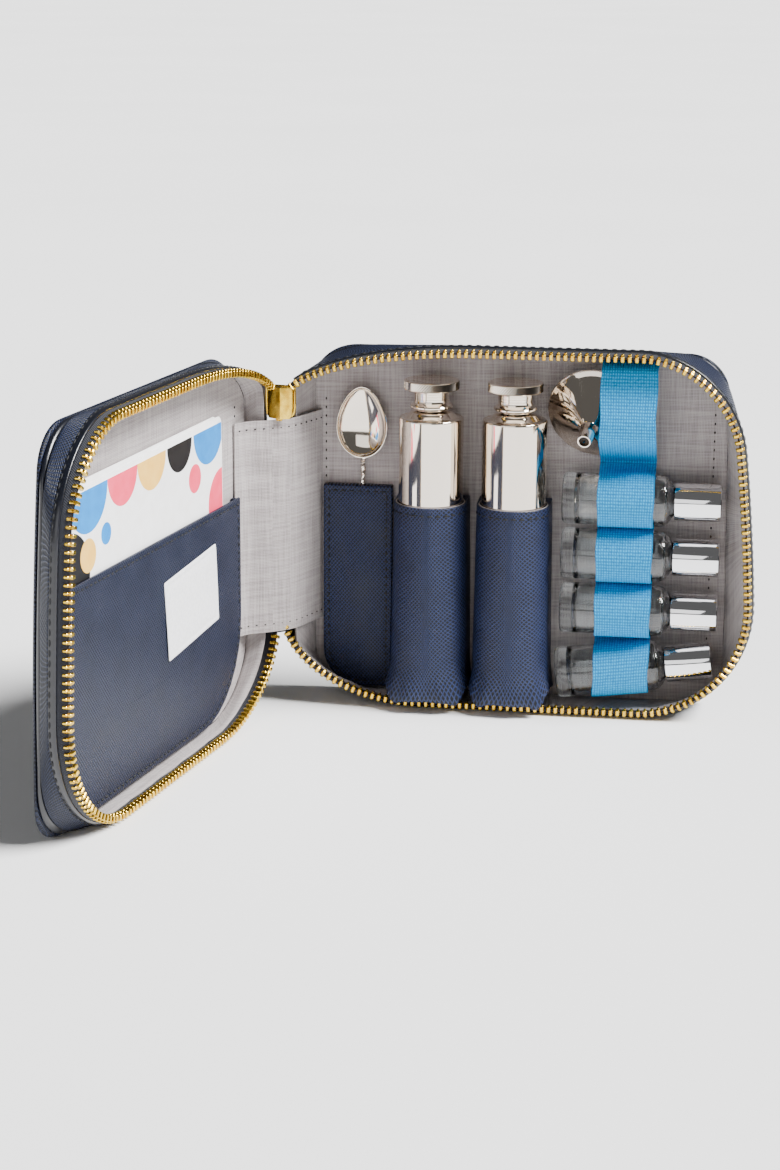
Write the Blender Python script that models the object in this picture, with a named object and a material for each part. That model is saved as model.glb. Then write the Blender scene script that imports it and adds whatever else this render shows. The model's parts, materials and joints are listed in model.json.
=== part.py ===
"""Zip-around travel bar case, standing open, with its flasks, vials, funnel, spoon and cards.

Every half of the case is described in half coordinates: u runs from the fold to the free
edge, v runs up from the floor, and w runs from the zip line to the back of that half.
The base half has w along +Y. The lid half is its mirror, turned open about the fold.
"""
import math

import bmesh
import bpy
from mathutils import Matrix, Vector

# Case, measured at the zip line
case_width = 0.165
case_height = 0.130
base_depth = 0.0240
lid_depth = 0.0162
open_angle = math.radians(102)
free_edge_taper_share = 0.06

# Below, an inner piece that follows the case has its lengths as shares of the case's

# Corner reaches of the zip line, along u and along v
foot_corner_u = 0.051
foot_corner_v = 0.034
head_corner_u = 0.075
head_corner_v = 0.020
free_low_corner_u = 0.040
free_low_corner_v = 0.042
free_high_corner_u = 0.033
free_high_corner_v = 0.033
free_edge_swell = 0.0045
foot_arc_start = math.radians(14)
head_arc_start = math.radians(23)

# Back panels
base_back_inset = 0.009
lid_back_inset = 0.003
base_back_overhang = -0.005
lid_back_overhang = 0.0
base_back_drop = 0.0014
lid_back_drop = 0.0
base_back_radii = (0.0135, 0.0135, 0.0135, 0.0135)
lid_back_radii = (0.026, 0.013, 0.013, 0.026)
base_back_taper_share = 0.01

# Layers of the shell
rim_outset = 0.0022
layer_gap = 0.0003
leather = 0.0012
back_panel_thick = 0.0016
back_edge_round = 0.0009
board_thick = 0.0010
board_inset = 0.0030
lining_thick = 0.0005
piping_radius = 0.0010
piping_inset = 0.0012
binding_thick = 0.0010
binding_width = 0.0024
rim_set_back = 0.0050
spine_clearance = 0.0005
spine_leaf_low = 0.22615 * case_height
spine_leaf_high = 0.80000 * case_height
spine_leaf_start = 0.0008
spine_lining_low = 0.21846 * case_height
spine_lining_high = 0.82385 * case_height
spine_lining_reach = 0.0148
spine_lining_apex = 0.0012

# Zip
tooth_pitch = 0.0025
tooth_reach = 0.0015
tooth_root = 0.0008
tooth_thick = 0.0022
zip_plane_gap = 0.0002
tape_thick = 0.0005
tape_rise = 0.0006
slider_width = 0.0094
slider_depth = 0.0056
slider_plate = 0.0011
slider_post = 0.0030
slider_low = 0.82692 * case_height
slider_high = 0.91538 * case_height
slider_nose_width = 0.0066
slider_turn = math.radians(-8)
pull_length = 0.08615 * case_height
pull_width = 0.0050
pull_thick = 0.0013
pull_eye = 0.0008
pull_gap = 0.0005
pull_drop = 0.0024

# Flasks
flask_radius = 0.06848 * case_width
flask_wall = 0.0007
flask_edge = 0.0008
flask_foot = 0.00590
flask_body_top = 0.83000 * case_height
flask_shoulder_rise = 0.0027
flask_flange_radius = 0.04606 * case_width
flask_neck_radius = 0.03212 * case_width
flask_neck_length = 0.0066
flask_bore = 0.02303 * case_width
flask_first_u = 0.32364 * case_width
flask_pitch = 0.18182 * case_width
cap_disc_radius = 0.06061 * case_width
cap_disc_thick = 0.0052
cap_disc_bevel = 0.0006
cap_collar_radius = 0.03909 * case_width
cap_collar_gap = 0.0005
cap_roof = 0.0031
cap_bore_clearance = 0.0003
cap_flute_depth = 0.0005
cap_flutes = 24
seal_thick = 0.0008

# Pockets of the base
pocket_leather = 0.0011
pocket_clearance = 0.00035
pocket_back_leather = 0.0005
pocket_half_width = 0.08545 * case_width
pocket_foot_swell = 0.0006
pocket_top = 0.59308 * case_height
pocket_foot = 0.00440
spoon_pocket_left = 0.07758 * case_width
spoon_pocket_depth = 0.0037
spoon_pocket_top = 0.61462 * case_height
spoon_pocket_foot = 0.00340
spoon_slot_depth = 0.0021
spoon_slot_half_width = 0.03333 * case_width
spoon_pocket_corner = 0.08485 * case_width
spoon_pocket_side_gap = 0.0004

# Spoon
bowl_width = 0.11030 * case_width
bowl_length = 0.20154 * case_height
bowl_centre_v = 0.79692 * case_height
bowl_depth = 0.0042
bowl_metal = 0.0009
handle_width = 0.0018
handle_thick = 0.0013
handle_foot = 0.01140
handle_overlap = 0.0015
spoon_set_back = 0.0008
spoon_shift = 0.0016

# Vials and the elastic
vial_radius = 0.07077 * case_height
vial_vs = tuple(share * case_height for share in (0.12923, 0.29769, 0.45462, 0.61154))
vial_rises = (0.13, 0.0, 0.0, 0.0)
vial_shifts = (-0.0008, 0.0, 0.0, 0.0)
vial_pitch = 0.15462 * case_height
vial_left_u = 0.61152 * case_width
vial_glass_length = 0.24121 * case_width
vial_shoulder = 0.0040
vial_neck_radius = 0.03846 * case_height
vial_neck_length = 0.05152 * case_width
vial_wall = 0.0013
vial_base = 0.0042
vial_bore = 0.02615 * case_height
vial_edge = 0.0010
vial_cap_radius = 0.05231 * case_height
vial_cap_length = 0.10061 * case_width
vial_cap_bore_clearance = 0.0003
vial_cap_edge = 0.0005
vial_seal_thick = 0.0012
band_thick = 0.0009
band_clearance = 0.0003
band_left_u = 0.68848 * case_width
band_width = 0.12303 * case_width
funnel_band_clearance = 0.0006

# Funnel
funnel_u = 0.67758 * case_width
funnel_centre_v = 0.85077 * case_height
funnel_tilt = math.radians(18)
funnel_yaw = math.radians(8)
funnel_rim_radius = 0.12846 * case_height
funnel_cone_length = 0.09615 * case_height
funnel_length = 0.16923 * case_height
funnel_neck_radius = 0.02231 * case_height
funnel_tip_radius = 0.01846 * case_height
funnel_metal = 0.0006
funnel_bead = 0.0006
funnel_back_gap = 0.0008

# Lid pocket, label and cards
card_pocket_leather = 0.0008
card_pocket_inset = 0.0040
card_pocket_corner_u = 0.20606 * case_width
card_pocket_corner_v = 0.46154 * case_height
card_pocket_low_corner = 0.0260
card_pocket_border = 0.0024
card_pocket_top = 0.62231 * case_height
card_pocket_depth = 0.0030
label_width = 0.26061 * case_width
label_height = 0.21538 * case_height
label_thick = 0.0004
label_centre_u = 0.36364 * case_width
label_centre_v = 0.41462 * case_height
label_turn = math.radians(-5)
card_thick = 0.0003
card_gap = 0.0003
card_foot = 0.19692 * case_height
card_corner = 0.0030
card_lefts = tuple(share * case_width for share in (0.17576, 0.16364, 0.18485))
card_widths = tuple(share * case_width for share in (0.71515, 0.72727, 0.70303))
card_heights = tuple(share * case_height for share in (0.64769, 0.66000, 0.66923))
card_turns = tuple(math.radians(angle) for angle in (-1.0, -1.4, -0.6))

# Fineness of round shapes
corner_steps = 8
round_steps = 24
piping_sides = 6
band_arc_steps = 8
foot_origin_v = 0.0


# Derived places
def back_plane(depth):
    return depth - back_panel_thick - layer_gap - board_thick - layer_gap


flask_shoulder_top = flask_body_top + flask_shoulder_rise
flask_neck_top = flask_shoulder_top + flask_neck_length
seal_foot = flask_neck_top + layer_gap
cap_bore_top = seal_foot + seal_thick + layer_gap
cap_collar_base = flask_shoulder_top + cap_collar_gap
cap_top = cap_bore_top + cap_roof
base_lining_front = back_plane(base_depth) - lining_thick
lid_lining_front = back_plane(lid_depth) - lining_thick
pocket_back_w = base_lining_front - layer_gap
flask_w = pocket_back_w - pocket_back_leather - pocket_clearance - flask_radius
vial_w = base_lining_front - band_clearance - vial_radius
fold_x = -case_width / 2
fold_y = -base_depth / 2


def material(name, colour, roughness, metallic):
    mat = bpy.data.materials.new(name)
    mat.use_nodes = True
    shader = mat.node_tree.nodes["Principled BSDF"]
    shader.inputs["Base Color"].default_value = (*colour, 1)
    shader.inputs["Roughness"].default_value = roughness
    shader.inputs["Metallic"].default_value = metallic
    mat.diffuse_color = (*colour, 1)
    return mat


def clear_scene():
    for ob in list(bpy.data.objects):
        bpy.data.objects.remove(ob, do_unlink=True)


def empty(name, location, turn=0.0, parent=None):
    ob = bpy.data.objects.new(name, None)
    bpy.context.scene.collection.objects.link(ob)
    ob.location = location
    ob.rotation_euler = (0, 0, turn)
    ob.parent = parent
    return ob


def add_object(name, bm, mat, parent, location=(0, 0, 0), rotation=(0, 0, 0), smooth=False):
    bmesh.ops.recalc_face_normals(bm, faces=bm.faces)
    mesh = bpy.data.meshes.new(name)
    bm.to_mesh(mesh)
    bm.free()
    mesh.materials.append(mat)
    if smooth:
        mesh.shade_smooth()
        mesh.set_sharp_from_angle(angle=math.radians(35))
    ob = bpy.data.objects.new(name, mesh)
    bpy.context.scene.collection.objects.link(ob)
    ob.parent = parent
    ob.location = location
    ob.rotation_euler = rotation
    return ob


# Solids from sections
def loft(sections, wrap=False):
    """Skin a row of closed sections that have the same number of points.

    The second half of a section takes the other diagonal, so that a skin and the one
    laid inside it bend along the same lines.
    """
    bm = bmesh.new()
    rows = [[bm.verts.new(point) for point in section] for section in sections]
    pairs = list(zip(rows, rows[1:]))
    if wrap:
        pairs.append((rows[-1], rows[0]))
    for row, following in pairs:
        for i in range(len(row)):
            j = (i + 1) % len(row)
            if 2 * i < len(row):
                bm.faces.new((row[i], row[j], following[j]))
                bm.faces.new((row[i], following[j], following[i]))
            else:
                bm.faces.new((row[i], row[j], following[i]))
                bm.faces.new((row[j], following[j], following[i]))
    if not wrap:
        bm.faces.new(rows[0])
        bm.faces.new(rows[-1])
    return bm


def turned(profile, steps, closed=False):
    """Spin a profile of (radius, height) points about Z."""
    bm = bmesh.new()
    verts = [bm.verts.new((radius, 0, height)) for radius, height in profile]
    edges = [bm.edges.new(pair) for pair in zip(verts, verts[1:])]
    if closed:
        edges.append(bm.edges.new((verts[-1], verts[0])))
    bmesh.ops.spin(
        bm, geom=verts + edges, cent=(0, 0, 0), axis=(0, 0, 1),
        angle=math.tau, steps=steps, use_merge=True)
    bmesh.ops.remove_doubles(bm, verts=bm.verts, dist=layer_gap / 30)
    return bm


# Outlines of the case in (u, v)
def quarter(centre, reach_u, reach_v, first, last):
    points = []
    for step in range(corner_steps + 1):
        angle = first + (last - first) * step / corner_steps
        points.append((centre[0] + reach_u * math.cos(angle), centre[1] + reach_v * math.sin(angle)))
    return points


def outline(left, right, bottom, top, corners, whole=False):
    """Four elliptical corners from the spine's foot round the free edge to its head."""
    foot, low, high, head = corners
    foot_start = math.pi if whole else math.pi + foot_arc_start
    head_end = math.pi if whole else math.pi - head_arc_start
    points = quarter((left + foot[0], bottom + foot[1]), *foot, foot_start, 1.5 * math.pi)
    points.append(((left + right) / 2, bottom))
    points += quarter((right - low[0], bottom + low[1]), *low, 1.5 * math.pi, math.tau)
    for share in (0.25, 0.5, 0.75):
        v = bottom + low[1] + (top - high[1] - bottom - low[1]) * share
        points.append((right, v))
    points += quarter((right - high[0], top - high[1]), *high, 0, 0.5 * math.pi)
    points.append(((left + right) / 2, top))
    points += quarter((left + head[0], top - head[1]), *head, 0.5 * math.pi, head_end)
    return points


def tapered(points, taper_share=free_edge_taper_share):
    """Draw the free edge in towards the top, as the real zip line leans."""
    result = []
    for u, v in points:
        rise = max(v, 0) / case_height
        result.append((u * (1 - taper_share * rise * rise), v))
    return result


def zip_line(outset, whole=False):
    """The zip line moved outwards by an outset, with v measured from the floor."""
    corners = (
        (foot_corner_u + outset, foot_corner_v + outset),
        (free_low_corner_u + outset, free_low_corner_v + outset),
        (free_high_corner_u + outset, free_high_corner_v + outset),
        (head_corner_u + outset, head_corner_v + outset),
    )
    points = outline(
        -outset, case_width + free_edge_swell + outset, rim_outset - outset,
        case_height + rim_outset + outset, corners, whole)
    return [(max(u, spine_clearance), max(v, foot_origin_v)) for u, v in tapered(points)]


class Half:
    """One half of the case: its depth, its back outline and the way it faces."""

    def __init__(self, name, depth, back_inset, overhang, drop, radii, side, taper):
        self.name = name
        self.taper = taper
        self.depth = depth
        self.back_inset = back_inset
        self.overhang = overhang
        self.drop = drop
        self.radii = radii
        self.side = side
        self.lining_front = back_plane(depth) - lining_thick

    def back_line(self, inset, whole):
        radii = [max(radius - inset, radius / 4) for radius in self.radii]
        corners = [(radius, radius) for radius in radii]
        points = outline(
            self.back_inset + inset, case_width + self.overhang - inset, inset,
            case_height + rim_outset - self.drop - inset, corners, whole)
        return tapered(points, self.taper)

    def wall_line(self, inset, w, whole=False):
        """Points of the side wall at depth w: straight by the rim, then drawn to the back."""
        rim = rim_set_back + binding_width
        share = max(w - rim, 0) / (self.depth - rim)
        front = zip_line(rim_outset - inset, whole)
        back = self.back_line(inset, whole)
        return [
            self.place(fu + (bu - fu) * share, fv + (bv - fv) * share, w)
            for (fu, fv), (bu, bv) in zip(front, back)]

    def place(self, u, v, w):
        return Vector((u, self.side * w, v))

    def band(self, corners):
        """An open band along the wall from (inset, w) corners of its cross-section."""
        lines = [self.wall_line(inset, w) for inset, w in corners]
        return loft(list(zip(*lines)))

    def plate(self, rings):
        """A closed plate whose rim runs through (inset, w) rings."""
        return loft([self.wall_line(inset, w, True) for inset, w in rings])


base = Half(
    "base", base_depth, base_back_inset, base_back_overhang, base_back_drop,
    base_back_radii, 1, base_back_taper_share)
lid = Half(
    "lid", lid_depth, lid_back_inset, lid_back_overhang, lid_back_drop,
    lid_back_radii, -1, free_edge_taper_share)


# Shell pieces, the same for both halves
def add_back(half, parent, mats):
    back = half.depth
    front = back - back_panel_thick
    rings = (
        (0, front),
        (0, back - back_edge_round),
        (back_edge_round / 3, back - back_edge_round / 3),
        (back_edge_round, back),
    )
    add_object(half.name + "_back_panel", half.plate(rings), mats["leather"], parent, smooth=True)
    board_back = front - layer_gap
    rings = ((board_inset, board_back - board_thick), (board_inset, board_back))
    add_object(half.name + "_stiffener_board", half.plate(rings), mats["board"], parent)
    lining_back = board_back - board_thick - layer_gap
    rings = ((board_inset, lining_back - lining_thick), (board_inset, lining_back))
    add_object(half.name + "_back_lining", half.plate(rings), mats["lining"], parent)


def add_wall(half, parent, mats):
    piping_w = half.depth - back_panel_thick - layer_gap - piping_radius
    wall_back = piping_w - piping_radius - layer_gap
    binding_back = rim_set_back + binding_width
    wall_front = binding_back + layer_gap
    section = ((0, wall_front), (0, wall_back), (leather, wall_back), (leather, wall_front))
    add_object(half.name + "_side_wall", half.band(section), mats["leather"], parent, smooth=True)
    section = (
        (0, rim_set_back + binding_thick / 2), (0, binding_back),
        (binding_thick, binding_back), (binding_thick, rim_set_back))
    add_object(half.name + "_edge_binding", half.band(section), mats["leather"], parent, smooth=True)
    skin = leather + layer_gap
    section = (
        (skin, wall_front), (skin, wall_back),
        (skin + lining_thick, wall_back), (skin + lining_thick, wall_front))
    add_object(half.name + "_wall_lining", half.band(section), mats["lining"], parent, smooth=True)
    section = []
    for side in range(piping_sides):
        angle = math.tau * side / piping_sides
        section.append((
            piping_inset + piping_radius * math.cos(angle),
            piping_w + piping_radius * math.sin(angle)))
    lines = [half.wall_line(inset, w, True) for inset, w in section]
    tube = loft(list(zip(*lines)), wrap=True)
    add_object(half.name + "_piping", tube, mats["leather"], parent, smooth=True)


# The zip
def spaced(points, spacing):
    """Points along a polyline at an even spacing."""
    result = [points[0]]
    carried = 0.0
    for start, end in zip(points, points[1:]):
        span = (Vector(end) - Vector(start)).length
        place = spacing - carried
        while place <= span:
            share = place / span
            result.append((
                start[0] + (end[0] - start[0]) * share, start[1] + (end[1] - start[1]) * share))
            place += spacing
        carried = span - (place - spacing)
    return result


def normals(points):
    result = []
    for i in range(len(points)):
        ahead = Vector(points[min(i + 1, len(points) - 1)])
        behind = Vector(points[max(i - 1, 0)])
        along = (ahead - behind).normalized()
        result.append(Vector((along.y, -along.x)))
    return result


def add_zip(half, parent, mats):
    points = spaced(zip_line(0), tooth_pitch / 2)
    outward = normals(points)
    sections = []
    for i, (point, normal) in enumerate(zip(points, outward)):
        tip = -tooth_reach if i % 2 else 0
        root = Vector(point) + normal * tooth_root
        end = Vector(point) + normal * tip
        low = zip_plane_gap + (tooth_root - tip) * tape_rise / (tooth_root + tooth_reach)
        sections.append((
            half.place(root.x, root.y, zip_plane_gap + tape_rise),
            half.place(root.x, root.y, zip_plane_gap + tape_rise + tooth_thick),
            half.place(end.x, end.y, zip_plane_gap + tape_rise + tooth_thick - low / 2)))
    add_object(half.name + "_zip_teeth", loft(sections), mats["brass"], parent)
    tape_inner = rim_outset - tooth_root - 2 * layer_gap
    tape_outer = binding_thick / 4
    tape_front = zip_plane_gap + tape_rise / 2
    section = (
        (tape_outer, rim_set_back - tape_thick - layer_gap), (tape_outer, rim_set_back - layer_gap),
        (tape_inner, tape_front + tape_thick), (tape_inner, tape_front))
    add_object(half.name + "_zip_tape", half.band(section), mats["tape"], parent)


def add_slider(parent, mats):
    """Two plates on a post: the tapes enter side by side and leave together."""
    turn = Matrix.Rotation(slider_turn, 4, "Z")
    length = slider_high - slider_low
    nose = slider_nose_width / slider_width
    half_width = slider_width / 2
    waist = slider_low + length / 3

    def plate(front, back):
        sections = []
        for v, width in ((slider_low, half_width * nose), (waist, half_width), (slider_high, half_width)):
            sections.append([
                turn @ Vector((x, y, v)) for x, y in
                ((-width, front), (width, front), (width, back), (-width, back))])
        return loft(sections)

    reach = slider_depth / 2
    ob = add_object("zip_slider", plate(-reach, slider_plate - reach), mats["brass"], parent)
    rear = add_object("slider_rear_guide", plate(reach - slider_plate, reach), mats["brass"], parent)
    middle = slider_plate / 2 - reach
    sections = []
    for v, width in ((slider_low, slider_post / 2), (waist, slider_post), (slider_high, slider_post / 2)):
        sections.append([
            turn @ Vector((x / 2, y, v)) for x, y in
            ((-width, middle), (width, middle), (width, -middle), (-width, -middle))])
    sections[0] = [point + Vector((0, 0, layer_gap)) for point in sections[0]]
    sections[-1] = [point - Vector((0, 0, layer_gap)) for point in sections[-1]]
    post = add_object("slider_post_guide", loft(sections), mats["brass"], parent)
    for guide in (rear, post):
        guide.hide_render = True
        guide.display_type = "WIRE"
        join = ob.modifiers.new("Join " + guide.name, "BOOLEAN")
        join.operation = "UNION"
        join.object = guide
    pull_y = reach + pull_gap + pull_thick / 2
    pivot = turn @ Vector((0, pull_y, slider_high - pull_drop))
    half_pull = pull_width / 2
    sections = []
    for v, share in ((pull_eye, 0.7), (0, 1), (pull_eye - pull_length, 1), (-pull_length, 0.7)):
        sections.append([
            (x * share * half_pull, y * pull_thick / 2, v)
            for x, y in ((-1, -1), (1, -1), (1, 1), (-1, 1))])
    add_object("zip_pull", loft(sections), mats["brass"], parent, pivot, (0, 0, slider_turn))


def add_spine(half, parent, mats):
    """One leaf of the spine, from the fold to the back panel's edge."""
    start = spine_leaf_start
    end = half.depth - back_panel_thick - layer_gap - 2 * piping_radius - layer_gap
    reach = spine_clearance + (half.back_inset - spine_clearance) * end / half.depth
    sections = []
    for u, w in ((spine_clearance, start), (reach, end)):
        sections.append([
            half.place(u, spine_leaf_low, w), half.place(u, spine_leaf_high, w),
            half.place(u + leather, spine_leaf_high, w), half.place(u + leather, spine_leaf_low, w)])
    add_object(half.name + "_spine_leaf", loft(sections), mats["leather"], parent)


def lid_to_base(point):
    """A point of the lid half, turned to where the open lid carries it."""
    return Matrix.Rotation(-open_angle, 4, "Z") @ point


def add_spine_lining(parent, mats):
    """The soft grey strip that runs over the fold from lining to lining."""
    outer = [base.place(base_back_inset + leather + lining_thick, 0, base_lining_front - layer_gap)]
    outer.append(base.place(spine_lining_apex + leather, 0, spine_lining_apex))
    outer.append(lid_to_base(lid.place(spine_lining_apex + leather, 0, spine_lining_apex)))
    outer.append(lid_to_base(lid.place(spine_lining_reach, 0, lid_lining_front - layer_gap)))
    inward = []
    for i in range(len(outer)):
        ahead = outer[min(i + 1, len(outer) - 1)]
        behind = outer[max(i - 1, 0)]
        along = (ahead - behind).normalized()
        inward.append(Vector((-along.y, along.x, 0)) * lining_thick)
    sections = []
    for point, shift in zip(outer, inward):
        low = Vector((0, 0, spine_lining_low))
        high = Vector((0, 0, spine_lining_high))
        sections.append([point + low, point + high, point + shift + high, point + shift + low])
    add_object("spine_lining", loft(sections), mats["lining"], parent)


# Flasks and their pockets
def add_flask(name, u, parent, mats):
    outer = flask_radius
    inner = outer - flask_wall
    profile = (
        (0, flask_foot),
        (outer - flask_edge, flask_foot),
        (outer, flask_foot + flask_edge),
        (outer, flask_body_top),
        (outer - flask_edge, flask_body_top + flask_edge),
        (flask_flange_radius, flask_shoulder_top - flask_edge / 2),
        (flask_neck_radius, flask_shoulder_top),
        (flask_neck_radius, flask_neck_top),
        (flask_bore, flask_neck_top),
        (flask_bore, flask_shoulder_top - flask_edge - flask_wall),
        (inner, flask_body_top - flask_wall),
        (inner, flask_foot + flask_wall + flask_edge),
        (inner - flask_edge, flask_foot + flask_wall),
        (0, flask_foot + flask_wall),
    )
    place = (u, flask_w, 0)
    add_object(name, turned(profile, round_steps), mats["steel"], parent, place, smooth=True)
    seal = (
        (0, seal_foot), (flask_neck_radius, seal_foot),
        (flask_neck_radius, seal_foot + seal_thick), (0, seal_foot + seal_thick))
    add_object(name + "_seal", turned(seal, round_steps), mats["rubber"], parent, place, smooth=True)
    bore = flask_neck_radius + cap_bore_clearance
    disc_foot = cap_top - cap_disc_thick
    profile = (
        (0, cap_top),
        (cap_disc_radius - cap_disc_bevel, cap_top),
        (cap_disc_radius, cap_top - cap_disc_bevel),
        (cap_disc_radius, disc_foot + cap_disc_bevel),
        (cap_disc_radius - cap_disc_bevel, disc_foot),
        (cap_collar_radius, disc_foot),
        (cap_collar_radius, cap_collar_base),
        (bore, cap_collar_base),
        (bore, cap_bore_top),
        (0, cap_bore_top),
    )
    bm = turned(profile, 2 * cap_flutes)
    for vert in bm.verts:
        radius = math.hypot(vert.co.x, vert.co.y)
        if abs(radius - cap_disc_radius) < cap_disc_bevel / 4:
            flute = round(math.atan2(vert.co.y, vert.co.x) / math.tau * 2 * cap_flutes)
            if flute % 2:
                vert.co.xy *= 1 - cap_flute_depth / cap_disc_radius
    add_object(name + "_cap", bm, mats["steel"], parent, place)


def add_flask_pocket(name, u, parent, mats):
    """A gathered leather pocket: a cup with a round bore and a flat back."""
    bore = flask_radius + pocket_clearance
    front_radius = bore + pocket_leather
    back = pocket_back_w - flask_w

    def outer_line(swell, v):
        half_width = pocket_half_width + swell
        points = []
        for step in range(round_steps):
            angle = math.tau * step / round_steps
            across = math.cos(angle)
            along = math.sin(angle)
            reach = front_radius
            if step <= round_steps // 2:
                reach = min(half_width / max(abs(across), layer_gap), back / max(along, layer_gap))
            points.append((reach * across, reach * along, v))
        return points

    def bore_line(v):
        points = []
        for step in range(round_steps):
            angle = math.tau * step / round_steps
            points.append((bore * math.cos(angle), bore * math.sin(angle), v))
        return points

    floor = flask_foot - layer_gap
    sections = [
        outer_line(0, pocket_foot), outer_line(pocket_foot_swell, floor),
        outer_line(0, (pocket_foot + pocket_top) / 2), outer_line(0, pocket_top),
        bore_line(pocket_top), bore_line(floor)]
    add_object(name, loft(sections), mats["leather"], parent, (u, flask_w, 0), smooth=True)


def box_line(left, right, front, back, v):
    corners = ((left, front), (right, front), (right, back), (left, back))
    return [Vector((u, w, v)) for u, w in corners]


def add_spoon_and_pocket(parent, mats):
    right = flask_first_u - pocket_half_width - spoon_pocket_side_gap - pocket_foot_swell
    left = spoon_pocket_left
    middle = (left + right) / 2
    front = pocket_back_w - spoon_pocket_depth
    slot_front = front + pocket_leather
    slot_back = slot_front + spoon_slot_depth
    slot_left = middle - spoon_slot_half_width
    slot_right = middle + spoon_slot_half_width
    slot_foot = handle_foot - layer_gap
    corner = spoon_pocket_corner
    sections = [
        box_line(left + corner, right, front, pocket_back_w, spoon_pocket_foot),
        box_line(left, right, front, pocket_back_w, spoon_pocket_foot + corner),
        box_line(left, right, front, pocket_back_w, spoon_pocket_top),
        box_line(slot_left, slot_right, slot_front, slot_back, spoon_pocket_top),
        box_line(slot_left, slot_right, slot_front, slot_back, slot_foot)]
    add_object("spoon_pocket", loft(sections), mats["leather"], parent)
    handle_w = slot_back - handle_thick / 2 - layer_gap
    outer = bowl_length / 2
    profile = []
    steps = round_steps // 4
    for step in range(steps + 1):
        angle = 0.5 * math.pi * step / steps
        profile.append((outer * math.sin(angle), bowl_depth * (1 - math.cos(angle))))
    for step in range(steps + 1):
        angle = 0.5 * math.pi * (1 - step / steps)
        reach = outer - bowl_metal
        profile.append((reach * math.sin(angle), bowl_depth - (bowl_depth - bowl_metal) * math.cos(angle)))
    bm = turned(profile, round_steps)
    bmesh.ops.scale(bm, vec=(bowl_width / bowl_length, 1, 1), verts=bm.verts)
    bmesh.ops.rotate(bm, cent=(0, 0, 0), matrix=Matrix.Rotation(math.pi / 2, 3, "X"), verts=bm.verts)
    bowl_back = spoon_set_back - layer_gap
    for vert in bm.verts:
        vert.co.y += handle_thick / 2 + bowl_back
    place = (middle + spoon_shift, handle_w, bowl_centre_v)
    spoon = add_object("bar_spoon", bm, mats["steel"], parent, place, smooth=True)
    top = handle_overlap - outer + bowl_metal
    foot = handle_foot - bowl_centre_v
    half_width = handle_width / 2
    half_thick = handle_thick / 2
    sections = [
        box_line(-half_width, half_width, -half_thick, half_thick, foot),
        box_line(-half_width, half_width, -half_thick, half_thick, top - bowl_metal - handle_overlap),
        box_line(-half_width, half_width, -half_thick - bowl_depth / 2, half_thick - bowl_depth / 2, top)]
    handle = add_object("spoon_handle_guide", loft(sections), mats["steel"], parent, place)
    handle.hide_render = True
    handle.display_type = "WIRE"
    join = spoon.modifiers.new("Join handle", "BOOLEAN")
    join.operation = "UNION"
    join.object = handle


# Vials and the elastic band that holds them
def vial_v(index, u):
    """Height of a vial's axis at u: the lowest one leans up along the rounded corner."""
    return vial_vs[index] + vial_rises[index] * (u - band_left_u - band_width / 2)


def add_vial(index, parent, mats):
    name = "vial_%d" % (index + 1)
    body = vial_glass_length - vial_shoulder
    neck_top = vial_glass_length + vial_neck_length
    inner = vial_radius - vial_wall
    profile = (
        (0, 0),
        (vial_radius - vial_edge, 0),
        (vial_radius, vial_edge),
        (vial_radius, body),
        (vial_radius - vial_edge, body + vial_edge),
        (vial_neck_radius, vial_glass_length),
        (vial_neck_radius, neck_top),
        (vial_bore, neck_top),
        (vial_bore, vial_glass_length - vial_wall),
        (inner, body - vial_wall),
        (inner, vial_base + vial_edge),
        (inner - vial_edge, vial_base),
        (0, vial_base),
    )
    left = vial_left_u + vial_shifts[index]
    place = (left, vial_w, vial_v(index, left))
    lie_along = (0, math.pi / 2 - math.atan(vial_rises[index]), 0)
    glass = turned(profile, round_steps)
    add_object(name + "_glass", glass, mats["glass"], parent, place, lie_along, True)
    seal_foot = neck_top + layer_gap
    seal_top = seal_foot + vial_seal_thick
    seal = ((0, seal_foot), (vial_neck_radius, seal_foot), (vial_neck_radius, seal_top), (0, seal_top))
    disc = turned(seal, round_steps)
    add_object(name + "_seal", disc, mats["rubber"], parent, place, lie_along, True)
    bore = vial_neck_radius + vial_cap_bore_clearance
    cap_foot = vial_glass_length + layer_gap
    cap_end = cap_foot + vial_cap_length
    roof = seal_top + layer_gap
    profile = (
        (0, cap_end),
        (vial_cap_radius - vial_cap_edge, cap_end),
        (vial_cap_radius, cap_end - vial_cap_edge),
        (vial_cap_radius, cap_foot),
        (bore, cap_foot),
        (bore, roof),
        (0, roof),
    )
    shell = turned(profile, round_steps)
    add_object(name + "_cap", shell, mats["chrome"], parent, place, lie_along, True)


def add_elastic_band(parent, mats):
    """One blue band, sewn down between the vials and stretched over the funnel."""
    sections = []
    for u in (band_left_u, band_left_u + band_width):
        sections.append([(u, w, v) for v, w in band_line(u)])
    add_object("elastic_band", loft(sections), mats["elastic"], parent)


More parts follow.
